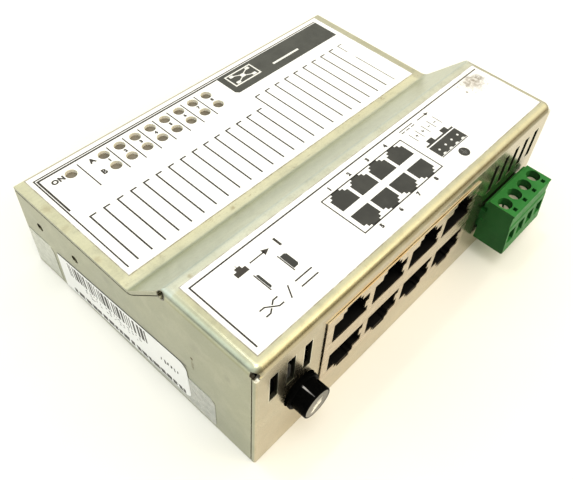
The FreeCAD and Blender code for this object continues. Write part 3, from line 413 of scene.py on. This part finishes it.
def label_white(name="label_white", worn=False, box=None, bare=None):
    k = Look(name, Coat_Weight=0.12, Coat_Roughness=0.25)
    cloud = k.noise(22, 3, 0.5, shift=4)
    fibre = k.noise(0.5, 3, 0.6)
    colour = k.mix(k.step(cloud, 0.35, 0.65), (0.860, 0.860, 0.845), (0.900, 0.900, 0.885))
    colour = k.mix(k.times(k.step(fibre, 0.5, 0.75), 0.06), colour, (0.70, 0.69, 0.65))
    if worn:
        # rubbed-in dirt near the rear right corner, and a faint stain at the front left
        fine = k.noise(0.9, 4, 0.7, shift=63)
        blot = k.noise(2.0, 3, 0.6, shift=71)
        dust = k.noise(0.55, 4, 0.7, shift=67)
        smear = k.most(
            k.times(k.spot(k.x, k.y, 50.4, -21.5, 1.6, 1.0, blot, 2.2), k.step(fine, 0.32, 0.60)),
            k.times(k.spot(k.x, k.y, 48.3, -20.4, 1.6, 1.0, blot, 2.2), k.step(fine, 0.34, 0.62)),
            k.times(k.spot(k.x, k.y, 45.7, -20.9, 1.6, 1.1, blot, 2.4), k.step(fine, 0.36, 0.64)),
            k.times(k.spot(k.x, k.y, 48.2, -22.5, 1.7, 1.1, blot, 2.4), k.step(fine, 0.36, 0.64), 0.9),
            k.times(k.spot(k.x, k.y, 50.6, -24.0, 1.0, 0.8, blot, 1.8), k.step(fine, 0.45, 0.62), 0.7),
            k.times(k.spot(k.x, k.y, 43.2, -19.9, 1.4, 1.1, blot, 2.0), k.step(dust, 0.48, 0.64), 0.7),
            k.times(k.spot(k.x, k.y, 40.6, -20.6, 1.3, 1.1, blot, 2.0), k.step(dust, 0.50, 0.66), 0.6),
            k.times(k.spot(k.x, k.y, 52.4, -22.6, 1.0, 0.8, blot, 1.6), k.step(dust, 0.48, 0.64), 0.6),
            k.times(k.spot(k.x, k.y, 47.5, -21.5, 4.6, 2.2, blot, 3.0), k.step(dust, 0.53, 0.66), 0.7),
            k.spot(k.x, k.y, 42.9, -22.8, 0.36, 0.14, fine, 0.2),
        )
        veil = k.times(k.spot(k.x, k.y, 47.6, -21.4, 2.8, 2.6, blot, 4.4), 0.42)
        colour = k.mix(veil, colour, (0.50, 0.42, 0.31))
        colour = k.mix(k.times(smear, 0.84), colour, (0.200, 0.160, 0.105))
        colour = k.mix(k.times(k.spot(k.x, k.y, -26.0, -37.3, 1.6, 1.4, blot, 2.0), 0.22), colour, (0.62, 0.56, 0.42))
    if box:
        x0, x1, y0, y1 = box
        core = k.times(k.band(k.x, x0 + 0.20, x1 - 0.20, 0.05), k.band(k.y, y0 + 0.20, y1 - 0.20, 0.05))
        line = k.times(k.math("SUBTRACT", 1.0, core, clamp=True), k.grey(k.step(k.noise(3.0, 3, 0.6, shift=15), 0.35, 0.60), 0.50, 0.85))
        colour = k.mix(line, colour, (0.215, 0.180, 0.120))
    if bare:
        colour = k.mix(k.step(k.y, bare - 0.05, bare + 0.05), colour, (0.400, 0.365, 0.280))
    k.put("Base Color", colour)
    k.put("Roughness", k.grey(k.step(fibre, 0.3, 0.7), 0.36, 0.48))
    k.bump(fibre, 0.002, 0.5)
    return k


def button_black():
    """Deep black plastic with a painted highlight: one fine pale line along the barrel, wider toward the rim."""
    k = Look("button_black", Specular_IOR_Level=0.006)
    fine = k.noise(0.5, 3, 0.6)
    colour = k.mix(k.step(fine, 0.4, 0.7), (0.0013, 0.0014, 0.0014), (0.0024, 0.0025, 0.0024))
    dx, dz = k.math("SUBTRACT", k.x, -43.0), k.math("SUBTRACT", k.z, 18.0)
    round_it = k.math("ABSOLUTE", k.math("ADD", k.times(dx, 0.976), k.times(dz, 0.22)))
    half = k.grey(k.step(k.y, -47.2, -43.6), 0.07, 0.20)
    # the painted highlight line along the barrel
    line = k.times(k.step(k.math("SUBTRACT", round_it, half), 0.05, -0.05), k.step(dz, 2.0, 3.0), k.band(k.y, -46.95, -43.55, 0.12))
    colour = k.mix(line, colour, k.mix(k.step(k.y, -47.0, -44.0), (0.12, 0.12, 0.125), (0.42, 0.42, 0.43)))
    k.put("Base Color", colour)
    k.put("Roughness", k.grey(k.step(fine, 0.3, 0.7), 0.22, 0.30))
    return k


def button_silver():
    """The bright insert of the button: painted reflection, grey grading darker across it, with painted highlights
    across its middle.
    """
    k = Look("button_silver", Metallic=1.0)
    dx, dz = k.math("SUBTRACT", k.x, -43.0), k.math("SUBTRACT", k.z, 18.0)
    along = k.math("ADD", k.times(dx, 0.89), k.times(dz, 0.46))
    across = k.math("ADD", k.times(dx, -0.46), k.times(dz, 0.89))
    wave = k.noise(1.3, 2, 0.5, shift=6)
    fine = k.noise(0.35, 3, 0.6)
    bent = k.math("ADD", across, k.times(k.math("SUBTRACT", wave, 0.5), 1.6))
    # painted reflection: the disc grades from grey to darker across it
    colour = k.mix(k.step(along, -2.6, 2.6), (0.190, 0.172, 0.136), (0.098, 0.090, 0.072))
    colour = k.mix(k.times(k.step(fine, 0.45, 0.75), 0.25), colour, (0.115, 0.105, 0.085))
    # painted highlights across the middle of the disc
    painted_glint_lines = k.most(k.times(k.band(bent, -1.15, -0.05, 0.22), k.band(along, -2.4, 1.1, 0.40)),
                    k.times(k.band(bent, 0.20, 0.72, 0.18), k.band(along, -1.3, 1.8, 0.40), 0.85),
                    k.times(k.band(bent, -0.4, 0.4, 0.20), k.band(along, -0.7, -0.1, 0.25), 0.8))
    colour = k.mix(painted_glint_lines, colour, (1.0, 0.96, 0.86))
    k.put("Base Color", colour)
    k.put("Roughness", k.grey(k.step(fine, 0.3, 0.7), 0.22, 0.34))
    k.bump(fine, 0.002, 0.4)
    return k


LOOKS = {
    "zinc_sheet": zinc_sheet(),
    "screw_steel": metal("screw_steel", (0.64, 0.575, 0.43), (0.80, 0.73, 0.56), 0.38, 0.6, metallic=0.45),
    "spacer_brass": metal("spacer_brass", (0.62, 0.46, 0.20), (0.72, 0.56, 0.27), 0.32),
    "board_green": plastic("board_green", (0.012, 0.060, 0.022), (0.020, 0.085, 0.032), 0.42, 0.8),
    "socket_plastic": plastic("socket_plastic", (0.0022, 0.0021, 0.0020), (0.0040, 0.0037, 0.0033), 0.55, level=0.12),
    "shield_steel": shield_steel(),
    "contact_gold": metal("contact_gold", (0.72, 0.50, 0.18), (0.82, 0.60, 0.25), 0.28, 0.5),
    "pin_tin": metal("pin_tin", (0.58, 0.57, 0.53), (0.68, 0.67, 0.62), 0.34, 0.6),
    # the plug's edges: rubbed wear and painted edge highlight; its left side, front and back: painted shade by face
    # direction
    "plug_green": plastic("plug_green", (0.021, 0.160, 0.027), (0.030, 0.195, 0.036), 0.46, 0.5, 0.008, ((0.16, 0.44, 0.15), 0.62), level=0.14,
                          shade=((0, -0.5, -0.8, (0.33, 0.42, 0.40)), (1, -0.5, -0.8, (0.95, 1.0, 0.92)), (1, 0.5, 0.8, (0.22, 0.24, 0.24)))),
    "button_black": button_black(),
    "button_silver": button_silver(),
    "switch_plastic": plastic("switch_plastic", (0.010, 0.010, 0.009), (0.017, 0.016, 0.015), 0.50, level=0.25),
    "plunger_plastic": plastic("plunger_plastic", (0.55, 0.54, 0.50), (0.64, 0.63, 0.59), 0.45),
    "spring_steel": metal("spring_steel", (0.48, 0.48, 0.46), (0.58, 0.58, 0.56), 0.28, 0.5),
    "guide_clear": plastic("guide_clear", (0.115, 0.095, 0.064), (0.175, 0.150, 0.108), 0.30, 0.9, 0.012, None, 0.15),
    "light_chip": plastic("light_chip", (0.62, 0.58, 0.40), (0.74, 0.70, 0.52), 0.40),
    "chip_black": plastic("chip_black", (0.016, 0.016, 0.017), (0.026, 0.026, 0.027), 0.52, 0.3),
    "capacitor_can": metal("capacitor_can", (0.60, 0.60, 0.60), (0.72, 0.72, 0.72), 0.30, 0.8, stretch=(1, 1, 10)),
    "choke_ferrite": plastic("choke_ferrite", (0.030, 0.028, 0.027), (0.055, 0.052, 0.050), 0.62, 0.6, 0.02),
    "crystal_can": metal("crystal_can", (0.62, 0.61, 0.57), (0.73, 0.72, 0.68), 0.26, 0.9, stretch=(8, 1, 1)),
    "label_white": label_white(),
    "label_foil": metal("label_foil", (0.53, 0.54, 0.48), (0.60, 0.61, 0.54), 0.36, 1.2),
    "label_clear": metal("label_clear", (0.44, 0.45, 0.42), (0.50, 0.505, 0.47), 0.30, 1.6),
}
for part in frame["record"]["subparts"]:
    dress(LOOKS[part["material_slot"]], part["node"])
dress(label_white("label_rear", False, (-53.9, 54.4, 0.8, 41.8), 41.40), "status_label")


# ---------------------------------------------------------------- print
class Print:
    """Flat ink: closed prisms in one plane, gathered into one mesh. The plane's first axis is a, its second is b."""

    def __init__(self, name, plane, top, thick=0.012):
        self.name, self.plane, self.top, self.thick = name, plane, top, thick
        self.bm = bmesh.new()

    def at(self, a, b, h):
        return Vector((a, b, h)) * MM if self.plane == "top" else Vector((-h, a, b)) * MM

    def poly(self, pts, ink=0, lift=0.0):
        low = [self.bm.verts.new(self.at(a, b, self.top - self.thick)) for a, b in pts]
        high = [self.bm.verts.new(self.at(a, b, self.top + lift)) for a, b in pts]
        faces = [self.bm.faces.new(low[::-1]), self.bm.faces.new(high)]
        for i in range(len(pts)):
            j = (i + 1) % len(pts)
            faces.append(self.bm.faces.new((low[i], low[j], high[j], high[i])))
        for f in faces:
            f.material_index = ink

    def rect(self, a0, a1, b0, b1, ink=0, lift=0.0):
        self.poly([(a0, b0), (a1, b0), (a1, b1), (a0, b1)], ink, lift)

    def disc(self, a, b, r, ink=0, lift=0.0, count=28):
        self.poly([(a + r * math.cos(2 * math.pi * i / count), b + r * math.sin(2 * math.pi * i / count)) for i in range(count)], ink, lift)

    def stroke(self, a0, b0, a1, b1, w, ink=0, lift=0.0):
        d = Vector((a1 - a0, b1 - b0)).normalized()
        n = Vector((-d.y, d.x)) * w / 2
        self.poly([(a0 + n.x, b0 + n.y), (a0 - n.x, b0 - n.y), (a1 - n.x, b1 - n.y), (a1 + n.x, b1 + n.y)], ink, lift)

    def path(self, pts, w, ink=0, lift=0.0):
        """An open line of even width with mitred corners."""
        left, right = [], []
        for i, p in enumerate(pts):
            p = Vector(p)
            d0 = (p - Vector(pts[i - 1])).normalized() if i else None
            d1 = (Vector(pts[i + 1]) - p).normalized() if i + 1 < len(pts) else None
            if d0 is None or d1 is None:
                d = d1 if d0 is None else d0
                n = Vector((-d.y, d.x)) * w / 2
            else:
                n0, n1 = Vector((-d0.y, d0.x)), Vector((-d1.y, d1.x))
                n = (n0 + n1) / (1 + n0.dot(n1)) * w / 2
            left.append(tuple(p + n))
            right.append(tuple(p - n))
        for i in range(len(pts) - 1):
            self.poly([left[i], right[i], right[i + 1], left[i + 1]], ink, lift)

    def frame(self, a0, a1, b0, b1, w, ink=0, lift=0.0):
        o = [(a0, b0), (a1, b0), (a1, b1), (a0, b1)]
        i = [(a0 + w, b0 + w), (a1 - w, b0 + w), (a1 - w, b1 - w), (a0 + w, b1 - w)]
        for k in range(4):
            j = (k + 1) % 4
            self.poly([o[k], o[j], i[j], i[k]], ink, lift)

    def text(self, words, a, b, height, ink=0, lift=0.0, bold=0.0, spread=1.0):
        """Built-in letters, centred on a, b, as tall as given."""
        cu = bpy.data.curves.new("glyphs", "FONT")
        cu.body = words
        cu.size = 1.0
        cu.offset = bold
        cu.space_character = spread
        cu.resolution_u = 4
        ob = bpy.data.objects.new("glyphs", cu)
        scene.collection.objects.link(ob)
        bpy.context.view_layer.update()
        flat = bpy.data.meshes.new_from_object(ob.evaluated_get(bpy.context.evaluated_depsgraph_get()))
        xs = [v.co.x for v in flat.vertices]
        ys = [v.co.y for v in flat.vertices]
        s = height / (max(ys) - min(ys))
        mx, my = (max(xs) + min(xs)) / 2, (max(ys) + min(ys)) / 2
        g = bmesh.new()
        g.from_mesh(flat)
        bmesh.ops.remove_doubles(g, verts=g.verts, dist=1e-5)
        bmesh.ops.triangulate(g, faces=g.faces)
        bmesh.ops.recalc_face_normals(g, faces=g.faces)
        made = bmesh.ops.extrude_face_region(g, geom=list(g.faces))
        top = {v for v in made["geom"] if isinstance(v, bmesh.types.BMVert)}
        table = {}
        for v in g.verts:
            h = self.top + lift if v in top else self.top - self.thick
            table[v] = self.bm.verts.new(self.at(a + (v.co.x - mx) * s, b + (v.co.y - my) * s, h))
        for f in g.faces:
            n = self.bm.faces.new([table[v] for v in f.verts])
            n.material_index = ink
        g.free()
        bpy.data.objects.remove(ob)
        bpy.data.curves.remove(cu)
        bpy.data.meshes.remove(flat)

    def finish(self, inks):
        bmesh.ops.recalc_face_normals(self.bm, faces=self.bm.faces)
        me = bpy.data.meshes.new(self.name)
        self.bm.to_mesh(me)
        self.bm.free()
        for k in inks:
            me.materials.append(k.mat)
        ob = bpy.data.objects.new(self.name, me)
        scene.collection.objects.link(ob)
        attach(ob, "root")
        return ob


def ink(name, low, high, fade=0.0):
    k = Look(name, Specular_IOR_Level=0.30)
    fine = k.noise(0.35, 3, 0.6)
    colour = k.mix(k.step(k.noise(5, 3, 0.55, shift=8), 0.35, 0.65), low, high)
    colour = k.mix(k.times(k.step(fine, 0.56, 0.80), 0.12), colour, tuple(min(0.9, c * 2.0 + 0.02) for c in high))
    if fade:
        side = k.step(k.x, 5.0, 52.0)
        colour = k.mix(k.times(side, fade), colour, (0.42, 0.36, 0.27))
    k.put("Base Color", colour)
    k.put("Roughness", k.grey(k.step(fine, 0.3, 0.7), 0.42, 0.56))
    k.bump(fine, 0.002, 0.4)
    return k


INK = ink("print_dark", (0.030, 0.026, 0.021), (0.046, 0.041, 0.034), 0.16)
BAR = ink("print_bar", (0.052, 0.053, 0.045), (0.066, 0.067, 0.057))
ICON = ink("print_icon", (0.034, 0.034, 0.030), (0.046, 0.046, 0.040))
PALE = ink("print_pale", (0.74, 0.74, 0.70), (0.80, 0.80, 0.76))
GREY = ink("print_grey", (0.120, 0.120, 0.115), (0.170, 0.168, 0.160))
rng = random.Random(2266)


def thinner(node, name, axis, beyond, value, look):
    """A copy of a label's film, a hair thinner, so that its print ends inside the film's own thickness."""
    me = nodes[node].data.copy()
    for v in me.vertices:
        if (v.co[axis] - beyond * MM) * math.copysign(1, beyond) > 0:
            v.co[axis] = value * MM
    ob = bpy.data.objects.new(name, me)
    scene.collection.objects.link(ob)
    me.materials.clear()
    me.materials.append(look.mat)
    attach(ob, "root")
    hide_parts(node)
    return ob


# status label: border, title bar, lamp table, lines for notes
LAMPS = [-34.2 + 5.08 * i for i in range(8)]
p = Print("status_print", "top", 28.906)
p.path([(-52.4, 2.75), (-52.4, 39.9), (52.6, 39.9)], 0.40)
p.path([(-51.72, 25.75), (-51.72, 39.15), (8.3, 39.15)], 0.56)
p.poly([(9.3, 30.25), (52.5, 30.25), (52.5, 39.45), (8.4, 39.45), (8.4, 31.15)], 1)
# a plain pictogram of a hub and its four lines, and an empty field
p.frame(10.5, 20.9, 32.8, 38.25, 0.45, 2, 0.004)
p.rect(14.9, 16.5, 34.8, 36.3, 2, 0.004)
for sx, sy in ((-1, -1), (-1, 1), (1, -1), (1, 1)):
    p.stroke(15.7 + sx * 0.7, 35.55 + sy * 0.55, 15.7 + sx * 2.6, 35.55 + sy * 1.45, 0.32, 2, 0.002)
    p.rect(15.7 + sx * 3.2 - 0.7, 15.7 + sx * 3.2 + 0.7, 35.55 + sy * 1.6 - 0.5, 35.55 + sy * 1.6 + 0.5, 2, 0.003)
p.rect(26.4, 37.6, 33.0, 33.75, 2, 0.004)
for x in (-41.2, -32.1, -26.95, -21.85, -16.8, -11.75, -6.75, -1.75):
    p.stroke(x, 27.6, x, 37.8, 0.36)
p.text("ON", -47.85, 36.2, 1.78, bold=0.062, spread=1.12)
p.text("A", -37.7, 36.25, 1.85, bold=0.060)
p.text("B", -37.7, 31.0, 1.85, bold=0.055)
for i, x in enumerate(LAMPS):
    p.text(str(i + 1), x, 33.45, 1.25, bold=0.085)
for i in range(15):
    x = -49.4 + 4.04 * i
    p.path([(x, 3.0), (x, 21.1), (x + 1.8, 21.1)], 0.47)
for i in range(10):
    x = 11.17 + 4.081 * i
    if i < 9:
        p.path([(x, 3.0), (x, 25.8), (x + 1.8, 25.8)], 0.45)
    else:
        p.path([(x, 21.7), (x, 25.8), (x + 1.8, 25.8)], 0.30)
        p.poly([(x - 0.15, 3.0), (x + 0.15, 3.0), (x + 0.15, 18.2), (x + 0.02, 18.7), (x - 0.08, 18.3), (x - 0.15, 18.0)])
        for dx, y, r in ((0.05, 19.3, 0.10), (-0.05, 20.4, 0.08), (0.04, 21.2, 0.11)):
            p.disc(x + dx, y, r, count=7)
p.finish([INK, BAR, PALE])


# port label: border, button pictograms, socket map, supply map
def socket(p, x, y, way, w=6.08, h=3.95, ink=1):
    """Outline of a modular socket. Its latch notch points along way."""
    s = [(0, 0), (w, 0), (w, h), (w - 0.87, h), (w - 0.87, h + 0.82), (w - 1.72, h + 0.82), (w - 1.72, h + 1.4),
         (1.72, h + 1.4), (1.72, h + 0.82), (0.87, h + 0.82), (0.87, h), (0, h)]
    p.poly([(x + a, y + way * b) for a, b in s], ink)


thinner("port_label", "port_face", 2, 41.65, 41.690, label_white("label_worn", True, (-53.5, 54.3, -39.2, -16.95)))
p = Print("port_print", "top", 41.696)
p.path([(53.5, -18.6), (-52.1, -18.6), (-52.1, -37.7)], 0.40)
# a socket, an arrow and a number name the socket that the button acts on
socket(p, -43.6, -23.8, 1, 3.3, 1.4, 0)
p.stroke(-39.2, -22.65, -34.9, -22.65, 0.34)
p.poly([(-35.3, -23.5), (-33.5, -22.65), (-35.3, -21.8)])
p.text("1", -31.0, -22.65, 2.45, bold=0.05)
p.rect(-41.0, -40.7, -30.5, -25.4)
p.poly([(-40.62, -30.0), (-40.2, -30.0), (-39.98, -29.7), (-39.98, -26.15), (-40.2, -25.85), (-40.62, -25.85)], 1)
p.rect(-33.98, -33.68, -30.5, -25.4)
p.poly([(-33.58, -30.0), (-32.3, -30.0), (-31.85, -29.55), (-31.85, -26.3), (-32.3, -25.85), (-33.58, -25.85)], 1)
# crossed and straight lines, for the two ways that the pairs can run
p.path([(-46.2, -32.45), (-44.9, -32.45), (-42.4, -34.3), (-41.1, -34.3)], 0.36)
p.path([(-46.2, -34.3), (-44.9, -34.3), (-43.95, -33.6)], 0.36)
p.path([(-43.35, -33.15), (-42.4, -32.45), (-41.1, -32.45)], 0.36)
p.stroke(-39.3, -34.8, -37.7, -32.0, 0.34)
p.stroke(-35.9, -32.45, -30.8, -32.45, 0.36)
p.stroke(-35.9, -34.3, -30.8, -34.3, 0.36)
p.frame(-15.75, 14.35, -34.7, -21.55, 0.34)
for i, x in enumerate((-14.25, -7.25, -0.33, 6.67)):
    socket(p, x, -27.1, 1)
    socket(p, x, -29.17, -1)
    p.text(str(i + 1), x + 3.0, -20.35, 1.32, bold=0.085)
    p.text(str(i + 5), x + 3.0, -35.85, 1.32, bold=0.085)
# direct current into the plug
p.stroke(16.2, -19.9, 21.6, -19.9, 0.28)
for i in range(3):
    p.stroke(16.2 + 2.0 * i, -20.65, 17.6 + 2.0 * i, -20.65, 0.28)
p.stroke(23.4, -20.25, 27.0, -20.25, 0.28)
p.poly([(26.7, -20.8), (28.1, -20.25), (26.7, -19.7)])
for x in (17.25, 19.75, 22.33, 24.92, 27.5):
    p.stroke(x, -22.1, x, -25.25, 0.22)
for i, x in enumerate((18.6, 21.1, 23.7, 26.25)):
    p.rect(x - 0.48, x + 0.48, -23.82, -23.58)
    if i < 2:
        p.rect(x - 0.12, x + 0.12, -23.58, -23.22)
        p.rect(x - 0.12, x + 0.12, -24.18, -23.82)
p.poly([(16.83, -28.3), (16.83, -27.75), (18.5, -27.75), (18.5, -26.5), (20.75, -26.5), (20.75, -27.75), (24.25, -27.75),
        (24.25, -26.5), (26.5, -26.5), (26.5, -27.75), (28.08, -27.75), (28.08, -28.3)], 1)
p.rect(16.83, 28.08, -32.55, -28.62, 1)
p.rect(16.83, 28.08, -32.95, -32.68, 1)
for x in (18.6, 21.25, 23.85, 26.5):
    p.disc(x, -30.65, 0.32, 2, 0.003, 16)
    p.poly([(x + 0.62 * math.cos(t), -32.5 + 0.5 * math.sin(t)) for t in [math.pi * k / 10 for k in range(11)]], 2, 0.003)
p.disc(22.5, -35.4, 1.5, 1)
p.rect(22.4, 22.6, -35.35, -34.35, 3, 0.003)
for k, w in enumerate((0.8, 0.52, 0.24)):
    p.rect(22.5 - w, 22.5 + w, -35.5 - 0.36 * k, -35.35 - 0.36 * k, 3, 0.003)
p.finish([INK, ICON, PALE, GREY])

# label on the left wall: bars and strokes that say nothing
thinner("serial_label", "serial_face", 0, -56.85, -56.890, LOOKS["label_white"])
p = Print("serial_print", "side", 56.896)
TOP0, TOP1 = Vector((29.0, 14.2)), Vector((-20.4, 18.2))
ALONG = (TOP1 - TOP0).normalized()
DOWN = Vector((ALONG.y, -ALONG.x))
if DOWN.y > 0:
    DOWN = -DOWN


def on_label(s, d):
    """The point s along the label's upper edge from its rear corner, and d below that edge."""
    q = TOP0 + ALONG * s + DOWN * d
    return (q.x, q.y)


def patch(p, s0, s1, d0, d1, ink=0, lean=0.0):
    p.poly([on_label(s0, d0), on_label(s1, d0), on_label(s1 + lean, d1), on_label(s0 + lean, d1)], ink)


s = 3.9
while s < 35.3:
    w = rng.choice((0.36, 0.40, 0.55, 0.80, 1.05))
    patch(p, s, s + w, 0.75, 5.75 + rng.uniform(-0.08, 0.08), 0)
    s += w + rng.choice((0.42, 0.46, 0.6, 0.85))
s = 9.6
while s < 31.5:
    w = rng.uniform(0.5, 1.3)
    for k in range(3):
        if rng.random() < 0.75:
            patch(p, s + rng.uniform(0, 0.3), s + w * rng.uniform(0.6, 1.0), 6.5 + k * 0.95, 6.5 + k * 0.95 + rng.uniform(0.3, 0.6), 1, rng.uniform(-0.3, 0.3))
    s += w + rng.uniform(0.35, 0.8)
s = 39.6
while s < 46.4:
    w = rng.uniform(0.25, 0.7)
    patch(p, s, s + w, 6.4, 6.4 + rng.uniform(0.9, 1.6), 0, rng.uniform(-0.3, 0.3))
    s += w + rng.uniform(0.45, 0.9)
s = 3.0
while s < 46.8:
    w = rng.uniform(1.1, 2.7)
    f = s / 49.5
    d = 11.3 + (13.2 - 11.3) * f
    patch(p, s, min(s + w, 47.2), d - 0.15, d + 1.45, 0, rng.choice((0.0, 0.0, 0.5)))
    s += w + rng.uniform(0.35, 0.7)
p.finish([INK, GREY])

# return spring: a copy of the coil
coil = bpy.data.objects.new("spring_coil", nodes["return_spring"].data.copy())
scene.collection.objects.link(coil)
coil.data.materials.clear()
coil.data.materials.append(LOOKS["spring_steel"].mat)
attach(coil, "root")
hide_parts("return_spring")
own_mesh(coil)

# ---------------------------------------------------------------- stage, light, camera
bm = bmesh.new()
bmesh.ops.create_grid(bm, x_segments=2, y_segments=2, size=2.0)
me = bpy.data.meshes.new("floor")
bm.to_mesh(me)
bm.free()
floor = bpy.data.objects.new("floor", me)
floor.location = (0, 0, -0.0001)
scene.collection.objects.link(floor)
k = Look("floor_pale")
k.put("Base Color", k.mix(k.step(k.noise(60, 3, 0.5), 0.35, 0.65), (0.86, 0.848, 0.800), (0.88, 0.868, 0.820)))
k.put("Roughness", k.grey(k.noise(12, 2, 0.5), 0.50, 0.60))
floor.data.materials.append(k.mat)

world = bpy.data.worlds.new("room")
scene.world = world
world.use_nodes = True
tree = world.node_tree
back = tree.nodes["Background"]
way = tree.nodes.new("ShaderNodeTexCoord")
part = tree.nodes.new("ShaderNodeSeparateXYZ")
tree.links.new(way.outputs["Generated"], part.inputs[0])
rise = tree.nodes.new("ShaderNodeMapRange")
rise.interpolation_type = "SMOOTHSTEP"
rear = tree.nodes.new("ShaderNodeMapRange")
rear.interpolation_type = "SMOOTHSTEP"
aim = tree.nodes.new("ShaderNodeVectorMath")
aim.operation = "DOT_PRODUCT"
aim.inputs[1].default_value = (0.6, 0.8, 0.0)
tree.links.new(way.outputs["Generated"], aim.inputs[0])
for n, values in ((rear, (aim.outputs["Value"], -0.2, 0.6, 0.15, 0.95)), (rise, (part.outputs["Z"], 0.0, 0.55, rear.outputs[0], 1.02))):
    for socket_, value in zip(n.inputs, values):
        if isinstance(value, float):
            socket_.default_value = value
        else:
            tree.links.new(value, socket_)
side = tree.nodes.new("ShaderNodeMath")
side.operation = "SUBTRACT"
tree.links.new(part.outputs["X"], side.inputs[0])
tree.links.new(part.outputs["Y"], side.inputs[1])
warm = tree.nodes.new("ShaderNodeMapRange")
warm.inputs["From Min"].default_value, warm.inputs["From Max"].default_value = -1.0, 1.0
tree.links.new(side.outputs[0], warm.inputs["Value"])
tint = tree.nodes.new("ShaderNodeMix")
tint.data_type = "RGBA"
tree.links.new(warm.outputs[0], tint.inputs[0])
tint.inputs[6].default_value = (0.94, 1.0, 1.0, 1.0)
tint.inputs[7].default_value = (1.0, 0.95, 0.84, 1.0)
tree.links.new(tint.outputs[2], back.inputs[0])
tree.links.new(rise.outputs[0], back.inputs[1])
aim = tree.nodes.new("ShaderNodeVectorMath")
aim.operation = "DOT_PRODUCT"
aim.inputs[1].default_value = (0.42, -0.68, 0.60)
tree.links.new(way.outputs["Generated"], aim.inputs[0])
lobe = tree.nodes.new("ShaderNodeMapRange")
lobe.interpolation_type = "SMOOTHSTEP"
lobe.inputs["From Min"].default_value, lobe.inputs["From Max"].default_value = 0.55, 1.0
lobe.inputs["To Max"].default_value = 0.62
tree.links.new(aim.outputs["Value"], lobe.inputs["Value"])
glow = tree.nodes.new("ShaderNodeBackground")
glow.inputs[0].default_value = (1.0, 0.80, 0.50, 1.0)
tree.links.new(lobe.outputs[0], glow.inputs[1])
both = tree.nodes.new("ShaderNodeAddShader")
tree.links.new(back.outputs[0], both.inputs[0])
tree.links.new(glow.outputs[0], both.inputs[1])
aim = tree.nodes.new("ShaderNodeVectorMath")
aim.operation = "DOT_PRODUCT"
aim.inputs[1].default_value = (-0.70, 0.38, 0.60)
tree.links.new(way.outputs["Generated"], aim.inputs[0])
lobe = tree.nodes.new("ShaderNodeMapRange")
lobe.interpolation_type = "SMOOTHSTEP"
lobe.inputs["From Min"].default_value, lobe.inputs["From Max"].default_value = 0.88, 1.0
lobe.inputs["To Max"].default_value = 0.55
tree.links.new(aim.outputs["Value"], lobe.inputs["Value"])
glow = tree.nodes.new("ShaderNodeBackground")
glow.inputs[0].default_value = (0.95, 1.0, 0.98, 1.0)
tree.links.new(lobe.outputs[0], glow.inputs[1])
three = tree.nodes.new("ShaderNodeAddShader")
tree.links.new(both.outputs[0], three.inputs[0])
tree.links.new(glow.outputs[0], three.inputs[1])
tree.links.new(three.outputs[0], tree.nodes["World Output"].inputs[0])


def area(name, place, aim, width, height, watts, colour):
    d = bpy.data.lights.new(name, "AREA")
    d.shape = "RECTANGLE"
    d.size, d.size_y = width, height
    d.energy = watts
    d.color = colour
    o = bpy.data.objects.new(name, d)
    o.location = place
    o.rotation_euler = (Vector(aim) - Vector(place)).to_track_quat("-Z", "Y").to_euler()
    scene.collection.objects.link(o)


area("key", (0.34, -0.60, 0.62), (0.0, -0.04, 0.0), 0.30, 0.30, 0.9, (1.0, 0.85, 0.60))
area("soft", (-0.18, -0.22, 0.96), (0.0, 0.0, 0.0), 0.42, 0.42, 2.6, (1.0, 0.99, 0.95))
area("overhead", (-0.088, 0.206, 0.969), (-0.044, -0.045, 0.022), 0.08, 0.06, 0.70, (1.0, 1.0, 1.0))

lens = bpy.data.cameras.new("camera")
lens.sensor_width = 36.0
lens.sensor_fit = "HORIZONTAL"
lens.lens = 42.16
lens.shift_x, lens.shift_y = -0.0383, -0.0162
lens.clip_start, lens.clip_end = 0.005, 20.0
camera = bpy.data.objects.new("camera", lens)
right, down, ahead = (Vector((0.6679863381, -0.7409740156, 0.0689330130)), Vector((-0.5386656920, -0.5453506986, -0.6422086015)),
                      Vector((0.5134525531, 0.3918547228, -0.7634240970)))
camera.matrix_world = Matrix.Translation((-0.09879858519, -0.08245978641, 0.15296914527)) @ Matrix((right, -down, -ahead)).transposed().to_4x4()
scene.collection.objects.link(camera)
scene.camera = camera
scene.view_settings.view_transform = "Standard"
scene.view_settings.look = "None"
